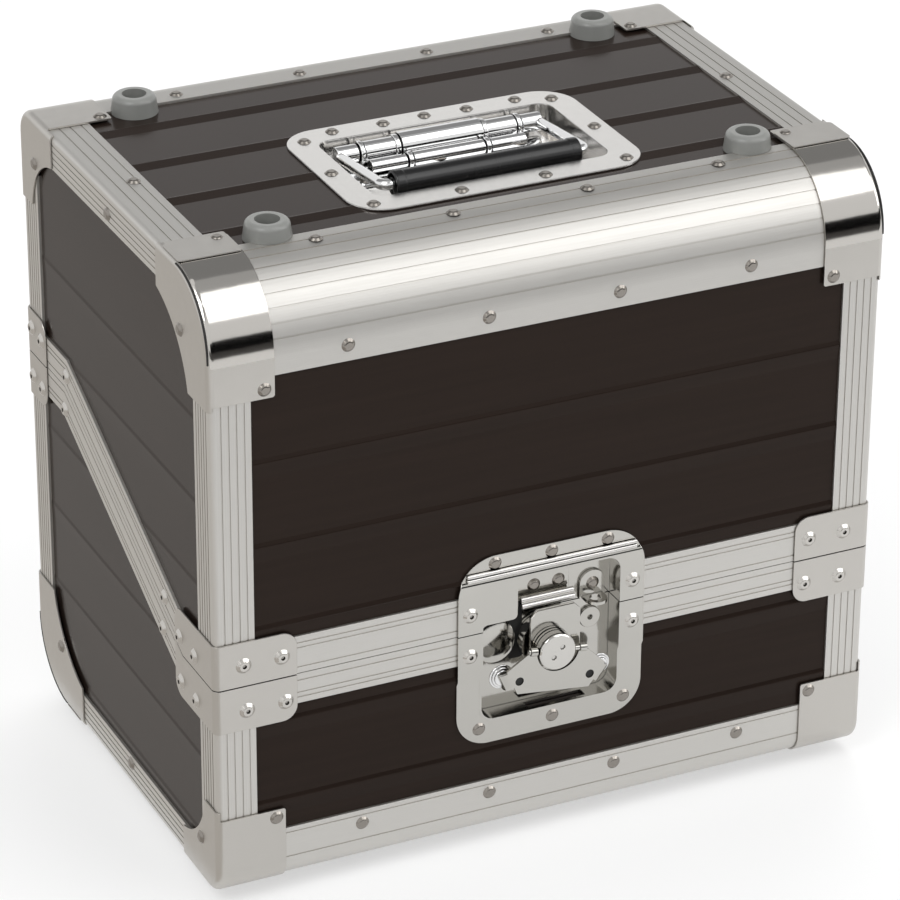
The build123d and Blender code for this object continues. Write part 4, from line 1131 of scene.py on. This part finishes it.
@dataclass
class Studio:
    """Plain pale studio: floor, soft lamps, white surroundings and the camera."""

    levels: Levels
    camera_place: tuple[float, float, float] = (-0.98819, -2.08946, 1.34674)
    camera_turn: tuple[float, float, float] = (63.06445, -0.30468, -25.20478)
    lens: float = 178.623
    floor_colour: str = "#f2f2f2"
    floor_size: float = 14.0
    floor_glow: float = 0.5
    soft_light: float = 0.66
    lamp_aim: tuple[float, float, float] = (0, 0, 0.2)
    card_aim: tuple[float, float, float] = (0, 0, 0.25)

    def looked_at(self, tree: bpy.types.NodeTree) -> bpy.types.NodeSocket:
        """Mask that is one for what the camera, polished metal or glass shows, and zero for light.

        Args:
            tree: Node tree of the material or world.

        Returns:
            The mask's socket.
        """
        path = add_node(tree, "ShaderNodeLightPath")
        looks = (path.outputs["Is Camera Ray"], path.outputs["Is Glossy Ray"], path.outputs["Is Transmission Ray"])
        either = add_node(tree, "ShaderNodeMath", {0: looks[0], 1: looks[1]}, operation="MAXIMUM")
        return add_node(tree, "ShaderNodeMath", {0: either.outputs[0], 1: looks[2]}, operation="MAXIMUM").outputs[0]

    def floor(self) -> None:
        """Lay the floor, half of it plain white to the eye, so that the shadow stays soft, and clear from below."""
        deselect()
        bpy.ops.mesh.primitive_plane_add(size=self.floor_size, location=(0, 0, 0))
        plane = settle(bpy.context.object)
        plane.name = "studio_floor"
        material, tree, output = blank_material("pale_floor")
        paint = add_node(tree, "ShaderNodeBsdfDiffuse", {"Color": linear(self.floor_colour)})
        white = add_node(tree, "ShaderNodeEmission", {"Color": (1, 1, 1, 1), "Strength": 1.0})
        share = add_node(
            tree, "ShaderNodeMath", {0: self.looked_at(tree), 1: self.floor_glow}, operation="MULTIPLY"
        ).outputs[0]
        both = add_node(tree, "ShaderNodeMixShader", {0: share, 1: paint.outputs[0], 2: white.outputs[0]})
        below = add_node(tree, "ShaderNodeNewGeometry").outputs["Backfacing"]
        clear = add_node(tree, "ShaderNodeBsdfTransparent")
        sided = add_node(tree, "ShaderNodeMixShader", {0: below, 1: both.outputs[0], 2: clear.outputs[0]})
        tree.links.new(sided.outputs[0], output.inputs[0])
        dress(plane, material)

    def world(self) -> None:
        """White surroundings for the eye and for reflections, softer as a light."""
        world = bpy.data.worlds.new("studio_white")
        bpy.context.scene.world = world
        world.use_nodes = True
        tree = world.node_tree
        tree.nodes.clear()
        output = add_node(tree, "ShaderNodeOutputWorld")
        seen = add_node(tree, "ShaderNodeBackground", {"Color": (1, 1, 1, 1), "Strength": 1.0})
        soft = add_node(tree, "ShaderNodeBackground", {"Color": (1, 1, 1, 1), "Strength": self.soft_light})
        looks = self.looked_at(tree)
        both = add_node(tree, "ShaderNodeMixShader", {0: looks, 1: soft.outputs[0], 2: seen.outputs[0]})
        tree.links.new(both.outputs[0], output.inputs[0])

    def lamp(
        self, name: str, place: tuple[float, float, float], size: float, power: float, mirrored: bool = True
    ) -> None:
        """Hang one soft square lamp that looks at the case.

        Args:
            name: Name of the lamp.
            place: Where it hangs, in metres.
            size: Side of the square in metres.
            power: Power in watts.
            mirrored: Whether polished metal shows the lamp itself.
        """
        light = bpy.data.lights.new(name, "AREA")
        light.shape = "SQUARE"
        light.size = size
        light.energy = power
        lamp = bpy.data.objects.new(name, light)
        lamp.visible_glossy = mirrored
        lamp.location = place
        aim = Vector(self.lamp_aim) - Vector(place)
        lamp.rotation_euler = aim.to_track_quat("-Z", "Y").to_euler()
        bpy.context.scene.collection.objects.link(lamp)

    def card(
        self,
        name: str,
        place: tuple[float, float, float],
        width: float,
        height: float,
        shade: str,
        flat: bool = False,
    ) -> None:
        """Set up one plain card that only the reflections see.

        Args:
            name: Name of the card.
            place: Its middle in metres.
            width: Its level side in metres.
            height: Its other side in metres.
            shade: Its colour.
            flat: Whether it lies on the floor instead of facing the case.
        """
        deselect()
        aim = Vector((0, 0, 1)) if flat else Vector(self.card_aim) - Vector(place)
        bpy.ops.mesh.primitive_plane_add(size=1, location=place, rotation=aim.to_track_quat("Z", "Y").to_euler())
        board = bpy.context.object
        board.scale = (width, height, 1)
        settle(board)
        board.name = name
        material, tree, output = blank_material(name + "_paper")
        paint = add_node(tree, "ShaderNodeEmission", {"Color": linear(shade), "Strength": 1.0})
        tree.links.new(paint.outputs[0], output.inputs[0])
        dress(board, material)
        board.visible_camera = False
        board.visible_diffuse = False
        board.visible_shadow = False

    def camera(self) -> None:
        """Set the camera where the photograph was taken."""
        data = bpy.data.cameras.new("photo_camera")
        data.lens = self.lens
        data.sensor_width = 36
        data.clip_end = 100
        camera = bpy.data.objects.new("photo_camera", data)
        camera.location = Vector(self.camera_place) + Vector((0, 0, self.levels.bottom))
        camera.rotation_euler = [math.radians(a) for a in self.camera_turn]
        bpy.context.scene.collection.objects.link(camera)
        bpy.context.scene.camera = camera

    def build(self) -> None:
        """Set up the whole studio."""
        self.floor()
        self.world()
        self.lamp("high_left_lamp", (-1.6, -0.9, 2.2), size=1.4, power=26)
        self.lamp("rear_top_lamp", (0.6, 1.4, 2.6), size=1.8, power=30, mirrored=False)
        self.lamp("right_lamp", (2.2, -1.2, 1.3), size=1.2, power=12)
        self.lamp("crown_lamp", (0.99, -1.29, 2.47), size=1.7, power=17)
        self.card("high_front_card", (0.5, -1.0, 3.9), width=8.0, height=2.8, shade="#c4c4c4")
        self.card("low_front_card", (1.6, -3.9, 0.5), width=9.0, height=1.2, shade="#0c0c0c")
        self.card("front_floor_card", (0.6, -3.0, 0.02), width=9.0, height=3.2, shade="#4c4a49", flat=True)
        self.card("rear_card", (0.4, 2.1, 3.4), width=8.0, height=3.4, shade="#989898")
        self.card("left_floor_card", (-1.21, 0.8, 0.01), width=2.0, height=2.6, shade="#d6d2cd", flat=True)
        self.camera()
        bpy.context.scene.view_settings.view_transform = "Standard"


def main() -> None:
    """Build the studio and dress the case, piece by piece."""
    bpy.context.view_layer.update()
    levels = Levels.from_frame()
    Studio(levels).build()
    Panels(levels).build()
    EdgeProfiles().dress()
    SheetMetal(levels).build()
    Rivets().dress()
    Feet().build()
    Linings().build()
    Handle().build()
    Latch().build()


if __name__ == "__main__":
    main()
